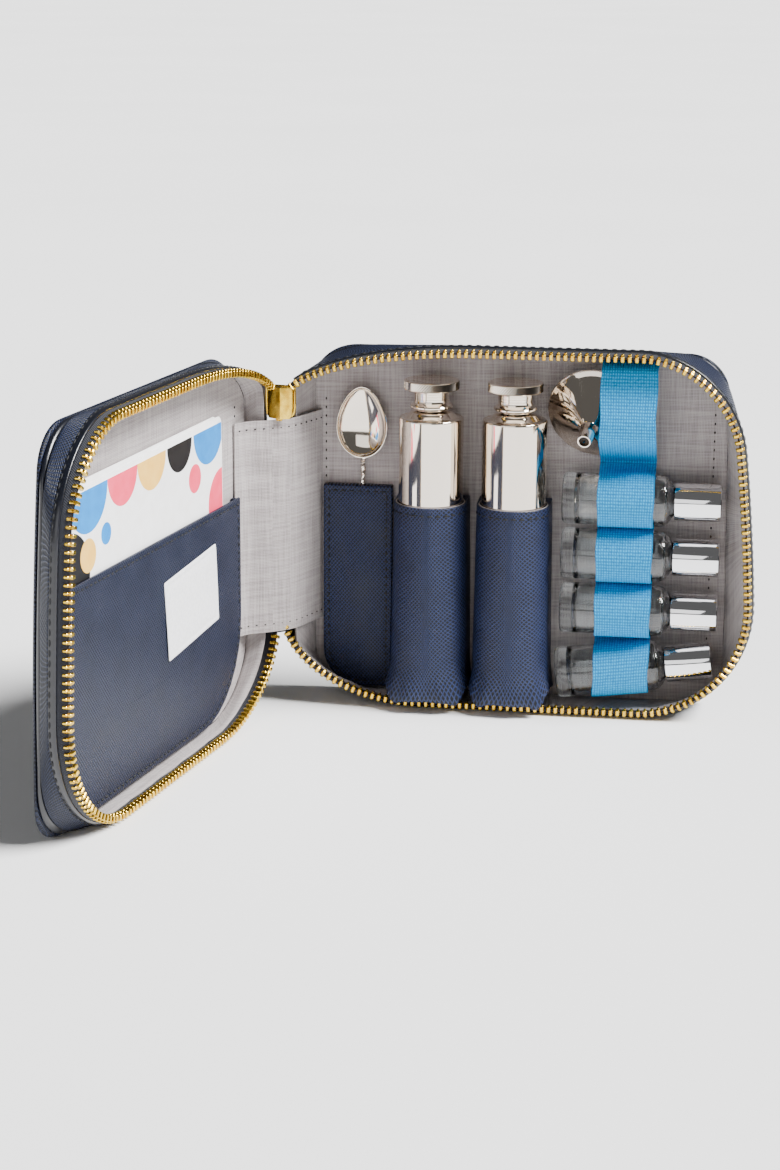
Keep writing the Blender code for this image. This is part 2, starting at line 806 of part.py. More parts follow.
def band_line(u):
    """The band's cross-section at u, as (v, w) points."""
    bore = vial_radius + band_clearance
    back = base_lining_front - layer_gap
    crest = vial_pitch / 2
    front = []
    inside = []
    for index in range(len(vial_vs)):
        v = vial_v(index, u)
        for step in range(band_arc_steps + 1):
            angle = math.pi * step / band_arc_steps
            front.append((v - crest * math.cos(angle), vial_w - (bore + band_thick) * math.sin(angle)))
        inside.append((v - bore, back))
        for step in range(band_arc_steps + 1):
            angle = math.pi * step / band_arc_steps
            inside.append((v - bore * math.cos(angle), vial_w - bore * math.sin(angle)))
        inside.append((v + bore, back))
    tilt_cos = math.cos(funnel_tilt)
    tilt_sin = math.sin(funnel_tilt)
    rim_w = funnel_rim_w()
    neck_v = funnel_centre_v - funnel_cone_length * tilt_sin
    neck_w = rim_w - funnel_cone_length * tilt_cos
    rim_top_v = funnel_centre_v + (funnel_rim_radius + funnel_bead) * tilt_cos
    rim_top_w = rim_w - (funnel_rim_radius + funnel_bead) * tilt_sin
    rim_foot_v = funnel_centre_v - (funnel_rim_radius + funnel_bead) * tilt_cos
    gap = funnel_band_clearance
    top_v = rim_top_v + gap
    low_v = rim_foot_v - 2 * gap - band_thick
    low_neck_v = neck_v - funnel_neck_radius
    peak_w = neck_w - gap - funnel_neck_radius * tilt_sin
    over = [
        (low_v + band_thick, back),
        (low_neck_v - gap, peak_w),
        (neck_v + funnel_neck_radius + gap, peak_w - gap),
        (top_v, rim_top_w - 2 * gap),
        (top_v, back)]
    outer = [
        (top_v + band_thick, back),
        (top_v + band_thick, rim_top_w - 2 * gap - band_thick / 2),
        (neck_v + funnel_neck_radius + gap + band_thick / 2, peak_w - gap - band_thick),
        (low_neck_v - gap - band_thick / 2, peak_w - band_thick)]
    first_foot = (vial_v(0, u) - crest, back)
    return [first_foot] + front + outer[::-1] + over[::-1] + inside[::-1]


# Funnel
def funnel_rim_w():
    lean = math.acos(math.cos(funnel_tilt) * math.cos(funnel_yaw))
    return base_lining_front - funnel_back_gap - (funnel_rim_radius + funnel_bead) * math.sin(lean)


def add_funnel(parent, mats):
    rim = funnel_rim_radius
    profile = (
        (rim, 0),
        (rim + funnel_bead, funnel_bead / 2),
        (rim, funnel_bead * 2),
        (funnel_neck_radius, funnel_cone_length),
        (funnel_tip_radius, funnel_length),
        (funnel_tip_radius - funnel_metal, funnel_length),
        (funnel_neck_radius - funnel_metal, funnel_cone_length - funnel_metal),
        (rim - funnel_metal, funnel_bead),
    )
    place = (funnel_u, funnel_rim_w(), funnel_centre_v)
    turn = (math.pi / 2 + funnel_tilt, 0, -funnel_yaw)
    add_object("funnel", turned(profile, round_steps, True), mats["steel"], parent, place, turn, True)


# Lid pocket, label and cards
def add_card_pocket(parent, mats):
    back = lid_lining_front - layer_gap
    front = back - card_pocket_depth
    panel = front + card_pocket_leather
    left = spine_lining_reach + 3 * layer_gap
    right = case_width + lid_back_overhang - card_pocket_inset
    foot = card_pocket_inset
    radius = card_pocket_low_corner

    def rim(inset, top, w):
        reach_u = card_pocket_corner_u - inset
        reach_v = card_pocket_corner_v - inset
        points = quarter(
            (left + card_pocket_corner_u, foot + card_pocket_corner_v), reach_u, reach_v,
            math.pi, 1.5 * math.pi)
        points += quarter(
            (right - radius, foot + radius), radius - inset, radius - inset, 1.5 * math.pi, math.tau)
        points += [(right - inset, top), (left + inset, top)]
        return [lid.place(u, v, w) for u, v in points]

    solid = loft([rim(0, card_pocket_top, back), rim(0, card_pocket_top, front)])
    pocket = add_object("card_pocket", solid, mats["leather"], parent)
    over = card_pocket_top + card_pocket_border
    space = loft([rim(card_pocket_border, over, panel), rim(card_pocket_border, over, back + leather)])
    cutter = add_object("card_space_guide", space, mats["board"], parent)
    cutter.hide_render = True
    cutter.display_type = "WIRE"
    cut = pocket.modifiers.new("Card space", "BOOLEAN")
    cut.operation = "DIFFERENCE"
    cut.object = cutter

    turn = Matrix.Rotation(label_turn, 3, "Y")
    label_back = front - layer_gap
    sections = []
    for w in (label_back, label_back - label_thick):
        section = []
        for side, rise in ((-1, -1), (1, -1), (1, 1), (-1, 1)):
            corner = turn @ Vector((side * label_width / 2, 0, rise * label_height / 2))
            section.append(lid.place(label_centre_u + corner.x, label_centre_v + corner.z, w))
        sections.append(section)
    add_object("sewn_label", loft(sections), mats["label"], parent)
    return panel


def add_cards(first_w, parent, mats):
    w = first_w + card_gap
    for index, (left, width, height) in enumerate(zip(card_lefts, card_widths, card_heights)):
        middle = Vector((left + width / 2, card_foot + height / 2))
        lean = Matrix.Rotation(card_turns[index], 2)
        side = width / 2
        rise = height / 2
        corner = card_corner
        line = [middle + lean @ Vector(point) for point in (
            (-side, -rise), (side, -rise), (side, rise - corner),
            (side - corner, rise), (corner - side, rise), (-side, rise - corner))]
        sections = [[lid.place(u, v, at) for u, v in line] for at in (w, w + card_thick)]
        add_object("recipe_card_%d" % (index + 1), loft(sections), mats["card"], parent)
        w += card_thick + card_gap


def main():
    clear_scene()
    mats = {
        "leather": material("navy_leather", (0.025, 0.035, 0.085), 0.5, 0),
        "lining": material("grey_lining", (0.55, 0.53, 0.52), 0.9, 0),
        "board": material("stiffener", (0.35, 0.30, 0.24), 0.9, 0),
        "tape": material("navy_tape", (0.015, 0.020, 0.045), 0.8, 0),
        "brass": material("brass_zip", (0.70, 0.48, 0.12), 0.3, 1),
        "steel": material("polished_steel", (0.72, 0.68, 0.62), 0.12, 1),
        "chrome": material("chrome_cap", (0.80, 0.80, 0.82), 0.08, 1),
        "glass": material("clear_glass", (0.85, 0.88, 0.90), 0.05, 0),
        "rubber": material("seal_rubber", (0.80, 0.80, 0.78), 0.6, 0),
        "elastic": material("blue_elastic", (0.010, 0.45, 0.80), 0.8, 0),
        "label": material("label_white", (0.80, 0.80, 0.81), 0.7, 0),
        "card": material("card_white", (0.90, 0.90, 0.90), 0.6, 0),
    }
    base_frame = empty("base_frame", (fold_x, fold_y, 0))
    lid_hinge = empty("lid_hinge", (fold_x, fold_y, 0), -open_angle)
    for half, parent in ((base, base_frame), (lid, lid_hinge)):
        add_back(half, parent, mats)
        add_wall(half, parent, mats)
        add_zip(half, parent, mats)
        add_spine(half, parent, mats)
    add_spine_lining(base_frame, mats)
    add_slider(base_frame, mats)
    for index, side in enumerate(("left", "right")):
        u = flask_first_u + index * flask_pitch
        add_flask("flask_" + side, u, base_frame, mats)
        add_flask_pocket("flask_pocket_" + side, u, base_frame, mats)
    add_spoon_and_pocket(base_frame, mats)
    for index in range(len(vial_vs)):
        add_vial(index, base_frame, mats)
    add_elastic_band(base_frame, mats)
    add_funnel(base_frame, mats)
    panel = add_card_pocket(lid_hinge, mats)
    add_cards(panel, lid_hinge, mats)


main()
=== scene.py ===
# %% [markdown]
# # A travel bar case, dressed
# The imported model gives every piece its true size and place. This script gives each piece
# the surface and the small shapes that the real one has: grained leather, linen, a brass
# zip, polished flasks and clear vials. It reads nothing but that model.

# %% Load the frame
import json
import math

import bmesh
import bpy
from mathutils import Matrix, Vector, noise


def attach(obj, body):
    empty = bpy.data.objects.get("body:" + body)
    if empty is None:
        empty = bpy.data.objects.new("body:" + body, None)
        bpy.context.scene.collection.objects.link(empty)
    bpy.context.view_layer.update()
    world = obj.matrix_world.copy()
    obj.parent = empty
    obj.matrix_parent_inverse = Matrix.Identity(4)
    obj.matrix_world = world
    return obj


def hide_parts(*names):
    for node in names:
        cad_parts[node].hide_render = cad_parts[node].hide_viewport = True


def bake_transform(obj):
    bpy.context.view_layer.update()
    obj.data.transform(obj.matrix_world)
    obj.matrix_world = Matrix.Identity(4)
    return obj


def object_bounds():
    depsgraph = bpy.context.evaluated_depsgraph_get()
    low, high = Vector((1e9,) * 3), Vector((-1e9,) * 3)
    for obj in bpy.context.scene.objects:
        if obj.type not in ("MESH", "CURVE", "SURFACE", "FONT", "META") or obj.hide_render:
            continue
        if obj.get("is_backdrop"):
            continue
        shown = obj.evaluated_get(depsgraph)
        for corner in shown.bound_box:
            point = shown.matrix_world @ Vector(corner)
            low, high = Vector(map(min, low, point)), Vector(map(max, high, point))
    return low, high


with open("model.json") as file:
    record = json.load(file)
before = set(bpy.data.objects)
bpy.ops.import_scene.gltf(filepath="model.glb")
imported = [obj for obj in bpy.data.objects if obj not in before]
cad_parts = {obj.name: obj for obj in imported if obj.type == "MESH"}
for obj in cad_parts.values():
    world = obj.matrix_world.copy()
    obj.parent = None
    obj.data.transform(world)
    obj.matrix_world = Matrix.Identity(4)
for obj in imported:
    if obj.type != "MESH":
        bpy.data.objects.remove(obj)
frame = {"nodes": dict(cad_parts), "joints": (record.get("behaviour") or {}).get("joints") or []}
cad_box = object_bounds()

mm = 0.001
fold_joint = next(joint for joint in frame["joints"] if joint["name"] == "lid_fold")
fold = Vector(fold_joint["pos_m"])
open_angle = math.radians(102)
print("fold at", tuple(round(value, 4) for value in fold))

# %% [markdown]
# ## Words for places
# A zip-around case is two trays that share a fold. It is easiest to think inside one tray:
# u runs from the fold to the free edge, v up from the floor, and w from the zip line back.
# One matrix for each tray turns those three numbers into the frame's own x, y and z.


# %% The two trays
class Tray:
    """One half of the case, with the sizes that its outlines are drawn from."""

    def __init__(self, name, depth, back_left, back_right, back_drop, radii, taper, mirrored):
        self.name, self.depth, self.radii, self.taper = name, depth, radii, taper
        self.back_left, self.back_right, self.back_drop = back_left, back_right, back_drop
        turn = Matrix.Rotation(-open_angle, 4, "Z") if mirrored else Matrix.Identity(4)
        side = Matrix.Scale(-1, 4, (0, 1, 0)) if mirrored else Matrix.Identity(4)
        self.matrix = Matrix.Translation(fold) @ turn @ side

    def at(self, u, w, v):
        return self.matrix @ Vector((u, w, v))

    def inside(self, point):
        return self.matrix.inverted() @ point


case_width = 165 * mm
case_height = 130 * mm
base = Tray("base", 24 * mm, 9 * mm, 160 * mm, 1.4 * mm, (13.5 * mm,) * 4, 0.01, False)
lid = Tray(
    "lid", 16.2 * mm, 3 * mm, 165 * mm, 0, (26 * mm, 13 * mm, 13 * mm, 26 * mm), 0.06, True)
trays = (base, lid)

# %% [markdown]
# ## Outlines
# The zip runs along four generous elliptical corners, and the back panel has tighter ones.
# The side wall joins the two, so a line at any depth is a mix of front and back outline.
# Arcs are drawn with a formula and enough steps to look round from a step away.

# %% Outlines of a tray
corner_steps = 20
fold_clear = 0.4 * mm
rim_outset = 2.2 * mm
zip_taper = 0.06
zip_corners = ((51, 34), (40, 42), (33, 33), (75, 20))
free_edge_swell = 4.5 * mm
rim_depth = 7.4 * mm


def spread(first, last, steps):
    """Even values from first to last, both included."""
    return [first + (last - first) * step / steps for step in range(steps + 1)]


def round_angles(steps):
    """Even angles once round, without the last."""
    return spread(0, math.tau, steps)[:-1]


def arc(sides, corner, reach, first, last, steps):
    """An elliptical arc between two angles, at one corner of a box.

    Sides are left, right, foot and top. A corner is 0 for left or 1 for right, then 0 for foot
    or 1 for top."""
    right, high = corner
    u = sides[right] + reach[0] * (1 - 2 * right)
    v = sides[2 + high] + reach[1] * (1 - 2 * high)
    return [
        (u + reach[0] * math.cos(angle), v + reach[1] * math.sin(angle))
        for angle in spread(first, last, steps)]


def chained(arcs, steps):
    """Arcs joined by straight lines of even steps."""
    points = list(arcs[0])
    for following in arcs[1:]:
        line = zip(*(spread(*pair, steps)[1:-1] for pair in zip(points[-1], following[0])))
        points += [*line, *following]
    return points


def outline(sides, corners, taper, first, last, spine=False):
    """From the fold's foot round the free edge to its head, or up the spine between the two."""
    turns = [
        (math.pi + first, 1.5 * math.pi), (1.5 * math.pi, math.tau), (0, 0.5 * math.pi),
        (0.5 * math.pi, math.pi - last)]
    places = [(0, 0), (1, 0), (1, 1), (0, 1)]
    if spine:
        turns = [(math.pi + first, math.pi), (math.pi, math.pi - last)]
        places, corners = places[::3], corners[::3]
    arcs = [
        arc(sides, place, reach, *turn, corner_steps)
        for place, reach, turn in zip(places, corners, turns)]
    return [
        (u * (1 - taper * (max(v, 0) / case_height) ** 2), v) for u, v in chained(arcs, corner_steps)]


def zip_outline(outset, first, last, spine, gap):
    """The outline along the zip, which keeps off the fold and above the ground."""
    corners = [(u * mm + outset, v * mm + outset) for u, v in zip_corners]
    sides = (
        -outset, case_width + free_edge_swell + outset, rim_outset - outset,
        case_height + rim_outset + outset)
    return [
        (max(u, fold_clear + gap), max(v, 0))
        for u, v in outline(sides, corners, zip_taper, first, last, spine)]


def back_outline(tray, inset, first, last, spine):
    """The outline of the back panel."""
    corners = [(max(radius - inset, radius / 4),) * 2 for radius in tray.radii]
    sides = (
        tray.back_left + inset, tray.back_right - inset, inset,
        case_height + rim_outset - tray.back_drop - inset)
    return outline(sides, corners, tray.taper, first, last, spine)


def wall_line(tray, inset, w, first=0.0, last=0.0, spine=False, gap=0.0):
    """The line round the tray at depth w, set in from the outer face, in the frame.

    Along the fold nothing comes nearer than fold_clear, plus the gap."""
    share = min(max((w - rim_depth) / (tray.depth - rim_depth), 0), 1.1)
    front = zip_outline(rim_outset - inset, first, last, spine, gap)
    back = back_outline(tray, inset, first, last, spine)
    return [
        tray.at(fu + (bu - fu) * share, w, fv + (bv - fv) * share)
        for (fu, fv), (bu, bv) in zip(front, back)]


print("points in an outline:", len(wall_line(base, 0, 0)))

# %% [markdown]
# ## Building tools
# Leather, cloth and trim are all strips that follow a line, so one tool serves them: it
# extrudes a row of edges and lays each new row on its line. It also writes a UV map in
# metres, so that grain and weave follow the strip at their true size.
# Round things are spun from a half profile, as on a lathe.


# %% Skins, turned shapes and finished pieces
weld = 0.002 * mm


def lengths(points):
    """Distance along a row of points, from its first."""
    result = [0.0]
    for start, end in zip(points, points[1:]):
        result.append(result[-1] + (Vector(end) - Vector(start)).length)
    return result


def new_verts(made):
    """The vertices among what a bmesh operator has made."""
    return {item for item in made["geom"] if isinstance(item, bmesh.types.BMVert)}


def skin(rows, close_rows=False, close_lines=False, fill=False):
    """Extrude the first row through the others.

    Closing rows or lines joins last to first, and fill closes the open ends."""
    if close_lines:
        rows = [list(row) + [row[0]] for row in rows]
    if close_rows:
        rows = list(rows) + [rows[0]]
    bm = bmesh.new()
    uv = bm.loops.layers.uv.new("UVMap")
    middle = len(rows[0]) // 2
    across = lengths([row[middle] for row in rows])
    along = lengths(rows[0])
    line = [bm.verts.new(point) for point in rows[0]]
    edges = [bm.edges.new(pair) for pair in zip(line, line[1:])]
    place = dict(zip(line, ((s, 0.0) for s in along)))
    for t, row in zip(across[1:], rows[1:]):
        fresh = new_verts(bmesh.ops.extrude_edge_only(bm, edges=edges))
        following = []
        for vert in line:
            following.append(next(
                edge.other_vert(vert) for edge in vert.link_edges if edge.other_vert(vert) in fresh))
        for vert, point, s in zip(following, row, along):
            vert.co = point
            place[vert] = (s, t)
        line = following
        edges = [bm.edges.get(pair) for pair in zip(line, line[1:])]
    for face in bm.faces:
        for loop in face.loops:
            loop[uv].uv = place[loop.vert]
    bmesh.ops.remove_doubles(bm, verts=bm.verts, dist=weld)
    if fill:
        ends = [edge for edge in bm.edges if edge.is_boundary]
        bmesh.ops.holes_fill(bm, edges=ends, sides=0)
    return bm


def flat_uv(bm, tray):
    """Lay the UV map flat on the tray's back, in metres."""
    uv = bm.loops.layers.uv.verify()
    for face in bm.faces:
        for loop in face.loops:
            local = tray.inside(loop.vert.co)
            loop[uv].uv = (local.x, local.z)


def turned(profile, steps, place=None, closed=False):
    """Spin (radius, height) points about Z, and put the result in its place."""
    bm = bmesh.new()
    verts = [bm.verts.new((radius, 0, height)) for radius, height in profile]
    edges = [bm.edges.new(pair) for pair in zip(verts, verts[1:])]
    if closed:
        edges.append(bm.edges.new((verts[-1], verts[0])))
    bmesh.ops.spin(
        bm, geom=verts + edges, cent=(0, 0, 0), axis=(0, 0, 1),
        angle=math.tau, steps=steps, use_merge=True)
    bmesh.ops.remove_doubles(bm, verts=bm.verts, dist=weld)
    if place:
        bmesh.ops.transform(bm, matrix=place, verts=bm.verts)
    return bm


def softened(points, radius, steps=4):
    """Round the inner corners of a line of 2-D or 3-D points."""
    points = [Vector(point) for point in points]
    result = [points[0]]
    for before, corner, after in zip(points, points[1:], points[2:]):
        first, second = before - corner, after - corner
        cut = min(radius, first.length * 0.45, second.length * 0.45)
        start = corner + first.normalized() * cut
        end = corner + second.normalized() * cut
        for share in spread(0, 1, steps):
            result.append(start.lerp(corner, share).lerp(corner.lerp(end, share), share))
    result.append(points[-1])
    return result


def piece(name, bm, material, body, nodes=(), slot=None, angle=40, recalculate=True):
    """Turn a bmesh into a finished piece of the frame."""
    if recalculate:
        bmesh.ops.recalc_face_normals(bm, faces=bm.faces)
    mesh = bpy.data.meshes.new(name)
    bm.to_mesh(mesh)
    bm.free()
    for item in material if isinstance(material, (list, tuple)) else [material]:
        mesh.materials.append(item)
    mesh.shade_smooth()
    mesh.set_sharp_from_angle(angle=math.radians(angle))
    ob = bpy.data.objects.new(name, mesh)
    bpy.context.scene.collection.objects.link(ob)
    if body:
        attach(ob, body)
    if nodes:
        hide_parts(*nodes)
    return ob


def tray_piece(tray, name, bm, material, node, slot, angle=40):
    """A piece that each tray has, in the place of the tray's node of that kind."""
    body = tray.name
    return piece(body + "_" + name, bm, material, body, [body + "_" + node], slot, angle)


# %% [markdown]
# ## Materials
# Each finish starts from what the stuff really is. Colours are written as they look on a
# screen and turned to linear light once. One helper adds a shader node, so that every
# material reads as a short list of what feeds what.


# %% Colour and node helpers
def linear(hex_colour):
    """sRGB hex to linear RGBA."""
    channels = [int(hex_colour[i:i + 2], 16) / 255 for i in (1, 3, 5)]
    light = [c / 12.92 if c <= 0.04045 else ((c + 0.055) / 1.055) ** 2.4 for c in channels]
    return (*light, 1)


def feed(tree, item, feeds):
    """Set a node's inputs to values, or link sockets to them."""
    for key, value in feeds.items():
        if isinstance(value, bpy.types.NodeSocket):
            tree.links.new(value, item.inputs[key])
        else:
            item.inputs[key].default_value = value


def add(tree, kind, feeds=None, **settings):
    """Add one node: settings are its properties, feeds its inputs as values or sockets."""
    item = tree.nodes.new(kind)
    for key, value in settings.items():
        setattr(item, key, value)
    feed(tree, item, feeds or {})
    return item


def blank(name, roughness, metallic=0.0, colour="#808080"):
    """A material with its Principled shader, ready for textures."""
    material = bpy.data.materials.new(name)
    material.use_nodes = True
    tree = material.node_tree
    shader = tree.nodes["Principled BSDF"]
    feed(tree, shader, {"Base Color": linear(colour), "Roughness": roughness, "Metallic": metallic})
    return material, tree, shader


def paint(tree, shader, fac, stops):
    """Colour a shader by a ramp of (position, hex colour) stops."""
    item = add(tree, "ShaderNodeValToRGB", {"Fac": fac})
    elements = item.color_ramp.elements
    while len(elements) < len(stops):
        elements.new(0.5)
    for element, (position, colour) in zip(elements, stops):
        element.position = position
        element.color = linear(colour)
    feed(tree, shader, {"Base Color": item.outputs["Color"]})


def vary_gloss(tree, shader, fac, low, high):
    """Let a texture move the roughness between low and high."""
    item = add(tree, "ShaderNodeMapRange", {"Value": fac, "To Min": low, "To Max": high})
    feed(tree, shader, {"Roughness": item.outputs["Result"]})


def bump(tree, shader, height, strength, distance):
    """Let a texture tilt the surface, as a relief of the given depth in metres would."""
    item = add(tree, "ShaderNodeBump", {
        "Height": height, "Strength": strength, "Distance": distance})
    feed(tree, shader, {"Normal": item.outputs["Normal"]})


def mapped(tree, source, turn=0.0, stretch=(1, 1, 1)):
    """Object coordinates or the UV map, both in metres, turned by degrees and stretched."""
    coordinates = add(tree, "ShaderNodeTexCoord").outputs[source]
    item = add(tree, "ShaderNodeMapping", {
        "Vector": coordinates, "Rotation": (0, 0, math.radians(turn)), "Scale": stretch})
    return item.outputs["Vector"]


def threads(tree, turn, spacing, distortion):
    """Even ridges over the UV map, turned by degrees, one every spacing metres.

    Blender's bands are a sine of 20 times the scale times x."""
    item = add(tree, "ShaderNodeTexWave", {
        "Vector": mapped(tree, "UV", turn), "Scale": math.tau / 20 / spacing,
        "Distortion": distortion, "Detail": 1.0, "Detail Scale": 2.0},
        wave_type="BANDS", bands_direction="X")
    return item.outputs["Fac"]


def clouds(tree, source, scale, detail, stretch=(1, 1, 1)):
    """Soft noise in object coordinates or over the UV map."""
    return add(tree, "ShaderNodeTexNoise", {
        "Vector": mapped(tree, source, 0, stretch), "Scale": scale, "Detail": detail}).outputs["Fac"]


def mixed(tree, operation, first, second, third=0.5):
    """One step of arithmetic between textures."""
    feeds = {0: first, 1: second, 2: third}
    return add(tree, "ShaderNodeMath", feeds, operation=operation).outputs[0]


def shared(tree, first, share, second):
    """A share of the first value and the rest of the second."""
    return mixed(tree, "MULTIPLY_ADD", first, share, mixed(tree, "MULTIPLY", second, 1 - share))


# %% [markdown]
# Cross-grained leather is calf or split leather pressed with fine crossed lines and coated
# with lacquer. The eye gets a tiny diamond hatch that glints where it faces the light. The
# glint is in the bump, and the lines are also painted lighter in the colour, as a painted
# glint. The lines lie about a millimetre apart, and raising each wave to a power makes them thin.

# %% Navy cross-grained leather
grain_pitch = 1.0 * mm
grain_roughness = 0.44


def cross_grain(name, low, middle, high):
    material, tree, shader = blank(name, grain_roughness)
    first, second = [threads(tree, turn, grain_pitch, 1.2) for turn in (40, -43)]
    hatch = mixed(tree, "POWER", mixed(tree, "MAXIMUM", first, second), 2.2)
    patches = clouds(tree, "UV", 90.0, 3.0)
    tone = shared(tree, patches, 0.3, hatch)
    # The hatch lines are painted lighter here, a painted glint; the patches are random tone.
    paint(tree, shader, tone, ((0.15, low), (0.45, middle), (0.85, high)))
    vary_gloss(tree, shader, hatch, grain_roughness + 0.14, grain_roughness - 0.08)
    feed(tree, shader, {"Specular IOR Level": 0.28, "Coat Weight": 0.03, "Coat Roughness": 0.35})
    bump(tree, shader, mixed(tree, "MULTIPLY", hatch, patches), 0.8, 0.35 * mm)
    return material


navy_leather = cross_grain("navy_cross_grain_leather", "#06070B", "#0B0E18", "#222A44")
# The pockets get a lighter copy of the same leather: its lighter tone is painted light.
lit_pocket_leather = cross_grain("navy_leather_painted_lighter", "#05060B", "#0A0D19", "#28345A")

# %% [markdown]
# The binding is the same leather with its cut edge painted and burnished, so it is smoother
# and shinier than the grain, with only faint pores.

# %% Burnished leather edge
edge_leather, tree, shader = blank("navy_burnished_edge", 0.28, colour="#0B0D16")
pores = clouds(tree, "Object", 900.0, 4.0)
paint(tree, shader, pores, ((0.3, "#07090F"), (0.7, "#0E111C")))
feed(tree, shader, {"Coat Weight": 0.35, "Coat Roughness": 0.2})
bump(tree, shader, pores, 0.25, 0.2 * mm)

# %% [markdown]
# The lining is a grey slub linen: plain weave, with some threads thicker than others. Two
# sets of threads cross, and noise stretched long one way makes the slubs, darker and lighter.

# %% Grey slub linen
thread_pitch = 0.55 * mm
grey_linen, tree, shader = blank("grey_slub_linen", 0.88)
warp, weft = [threads(tree, turn, thread_pitch, 0.6) for turn in (0, 90)]
weave = mixed(tree, "MAXIMUM", warp, weft)
slubs = [clouds(tree, "UV", 1.6, 3.0, stretch) for stretch in ((28, 700, 1), (700, 28, 1))]
slub = shared(tree, slubs[0], 0.5, slubs[1])
tone = shared(tree, weave, 0.22, slub)
paint(tree, shader, tone, ((0.36, "#7C7473"), (0.5, "#989090"), (0.66, "#B2ABA9")))
feed(tree, shader, {"Sheen Weight": 0.15})
bump(tree, shader, mixed(tree, "ADD", weave, slub), 0.45, 0.25 * mm)

# %% [markdown]
# Zip tape is woven polyester with a fine herringbone. Teeth and slider are brass, die-cut
# or cast and tumbled bright, so their edges are soft and a little uneven in gloss.

# %% Zip tape and brass
zip_tape, tree, shader = blank("navy_herringbone_tape", 0.8)
twill = threads(tree, 35, 0.6 * mm, 0.3)
paint(tree, shader, twill, ((0.2, "#040509"), (0.8, "#161B2C")))
feed(tree, shader, {"Sheen Weight": 0.2})
bump(tree, shader, twill, 0.6, 0.25 * mm)

brass, tree, shader = blank("tumbled_brass", 0.22, 1.0, "#E2BC45")
tumble = clouds(tree, "Object", 420.0, 3.0)
paint(tree, shader, tumble, ((0.3, "#BE9128"), (0.6, "#EBC64E")))
vary_gloss(tree, shader, tumble, 0.14, 0.34)
bump(tree, shader, tumble, 0.12, 0.1 * mm)

# %% [markdown]
# The flasks, spoon and funnel are stainless steel with a warm nickel polish, and the vial
# caps are cooler bright chrome. Both are near mirrors, so they are mostly what they reflect.
# A very low, slow ripple keeps the reflections from looking computed. One side of each
# knurl ridge gets a darker, duller steel, as painted shade.


# %% Polished steel and chrome
def polished(name, colour, roughness, ripple):
    material, tree, shader = blank(name, roughness, 1.0, colour)
    waves = clouds(tree, "Object", 60.0, 2.0)
    vary_gloss(tree, shader, waves, roughness * 0.7, roughness * 1.5)
    bump(tree, shader, waves, ripple, 0.3 * mm)
    return material


steel = polished("warm_polished_steel", "#E9DED0", 0.06, 0.01)
chrome = polished("bright_chrome", "#F2F2F4", 0.04, 0.005)
# A darker, duller steel for one side of each knurl ridge: painted shade.
knurl_shade = polished("knurl_painted_shade_steel", "#5C5650", 0.22, 0.01)

# %% [markdown]
# Vials are drawn from clear soda glass: smooth, thick at the base, with an index of 1.5.
# Slight haze in the roughness stands for handling.

# %% Clear glass
clear_glass, tree, shader = blank("clear_vial_glass", 0.02, colour="#F4F7F8")
feed(tree, shader, {"Transmission Weight": 1.0, "IOR": 1.5})
vary_gloss(tree, shader, clouds(tree, "Object", 120.0, 2.0), 0.0, 0.006)

# %% [markdown]
# The band is a 20 mm woven elastic in bright blue: rubber cores under a knitted face, which
# shows as small rows of knots with a soft sheen.

# %% Blue elastic
blue_elastic, tree, shader = blank("blue_woven_elastic", 0.72)
rows, stitch_lines = [threads(tree, turn, pitch * mm, 1.0) for turn, pitch in ((0, 1.2), (90, 0.95))]
knit = mixed(tree, "MULTIPLY", rows, stitch_lines)
tone = shared(tree, clouds(tree, "UV", 700.0, 3.0), 0.4, knit)
paint(tree, shader, tone, ((0.1, "#0068A6"), (0.4, "#0092D0"), (0.75, "#00BCF2")))
feed(tree, shader, {"Specular IOR Level": 0.25})
bump(tree, shader, tone, 0.7, 0.4 * mm)

# %% [markdown]
# The sewn label is white woven satin, and the cards are coated board printed in flat
# colours. Paper is never quite even, so each ink has a faint mottle.


# %% Label and printed card
def mottled(name, first, second, roughness=0.42, scale=200.0):
    material, tree, shader = blank(name, roughness)
    mottle = clouds(tree, "Object", scale, 4.0)
    paint(tree, shader, mottle, ((0.35, first), (0.65, second)))
    bump(tree, shader, mottle, 0.08, 0.1 * mm)
    return material


card_white = mottled("coated_board_white", "#F5F4F3", "#FBFBFB")
ink_pink = mottled("ink_pink", "#EC3F5E", "#F2506D")
ink_blue = mottled("ink_blue", "#0079C6", "#0086D4")
ink_black = mottled("ink_black", "#0B090A", "#121011")
ink_cream = mottled("ink_cream", "#EDB850", "#F2C262")
satin_label = mottled("white_woven_satin", "#E3E3E5", "#F0F0F2", 0.6, 900.0)
grey_board = mottled("pressed_grey_board", "#8E867C", "#A39A8E", 0.9, 500.0)
white_rubber = mottled("white_seal_rubber", "#D9D8D4", "#E8E7E4", 0.6, 500.0)
navy_thread = mottled("navy_waxed_thread", "#030406", "#07090F", 0.7, 1500.0)
dark_thread = mottled("dark_lining_thread", "#1A1617", "#282324", 0.8, 1500.0)
print("materials:", len(bpy.data.materials))

# %% [markdown]
# ## The leather shell
# The outside of a tray is one strip of leather, wrapped round a frame. Its cross-section is
# drawn once, as (inset, depth) points in millimetres, and swept round the outline. A slow
# noise moves the rows a tenth of a millimetre, because hand-worked leather is never exact.

# %% Side walls
wall_ends = (math.radians(14), math.radians(23))
stitch_ends = (math.radians(24), math.radians(27))


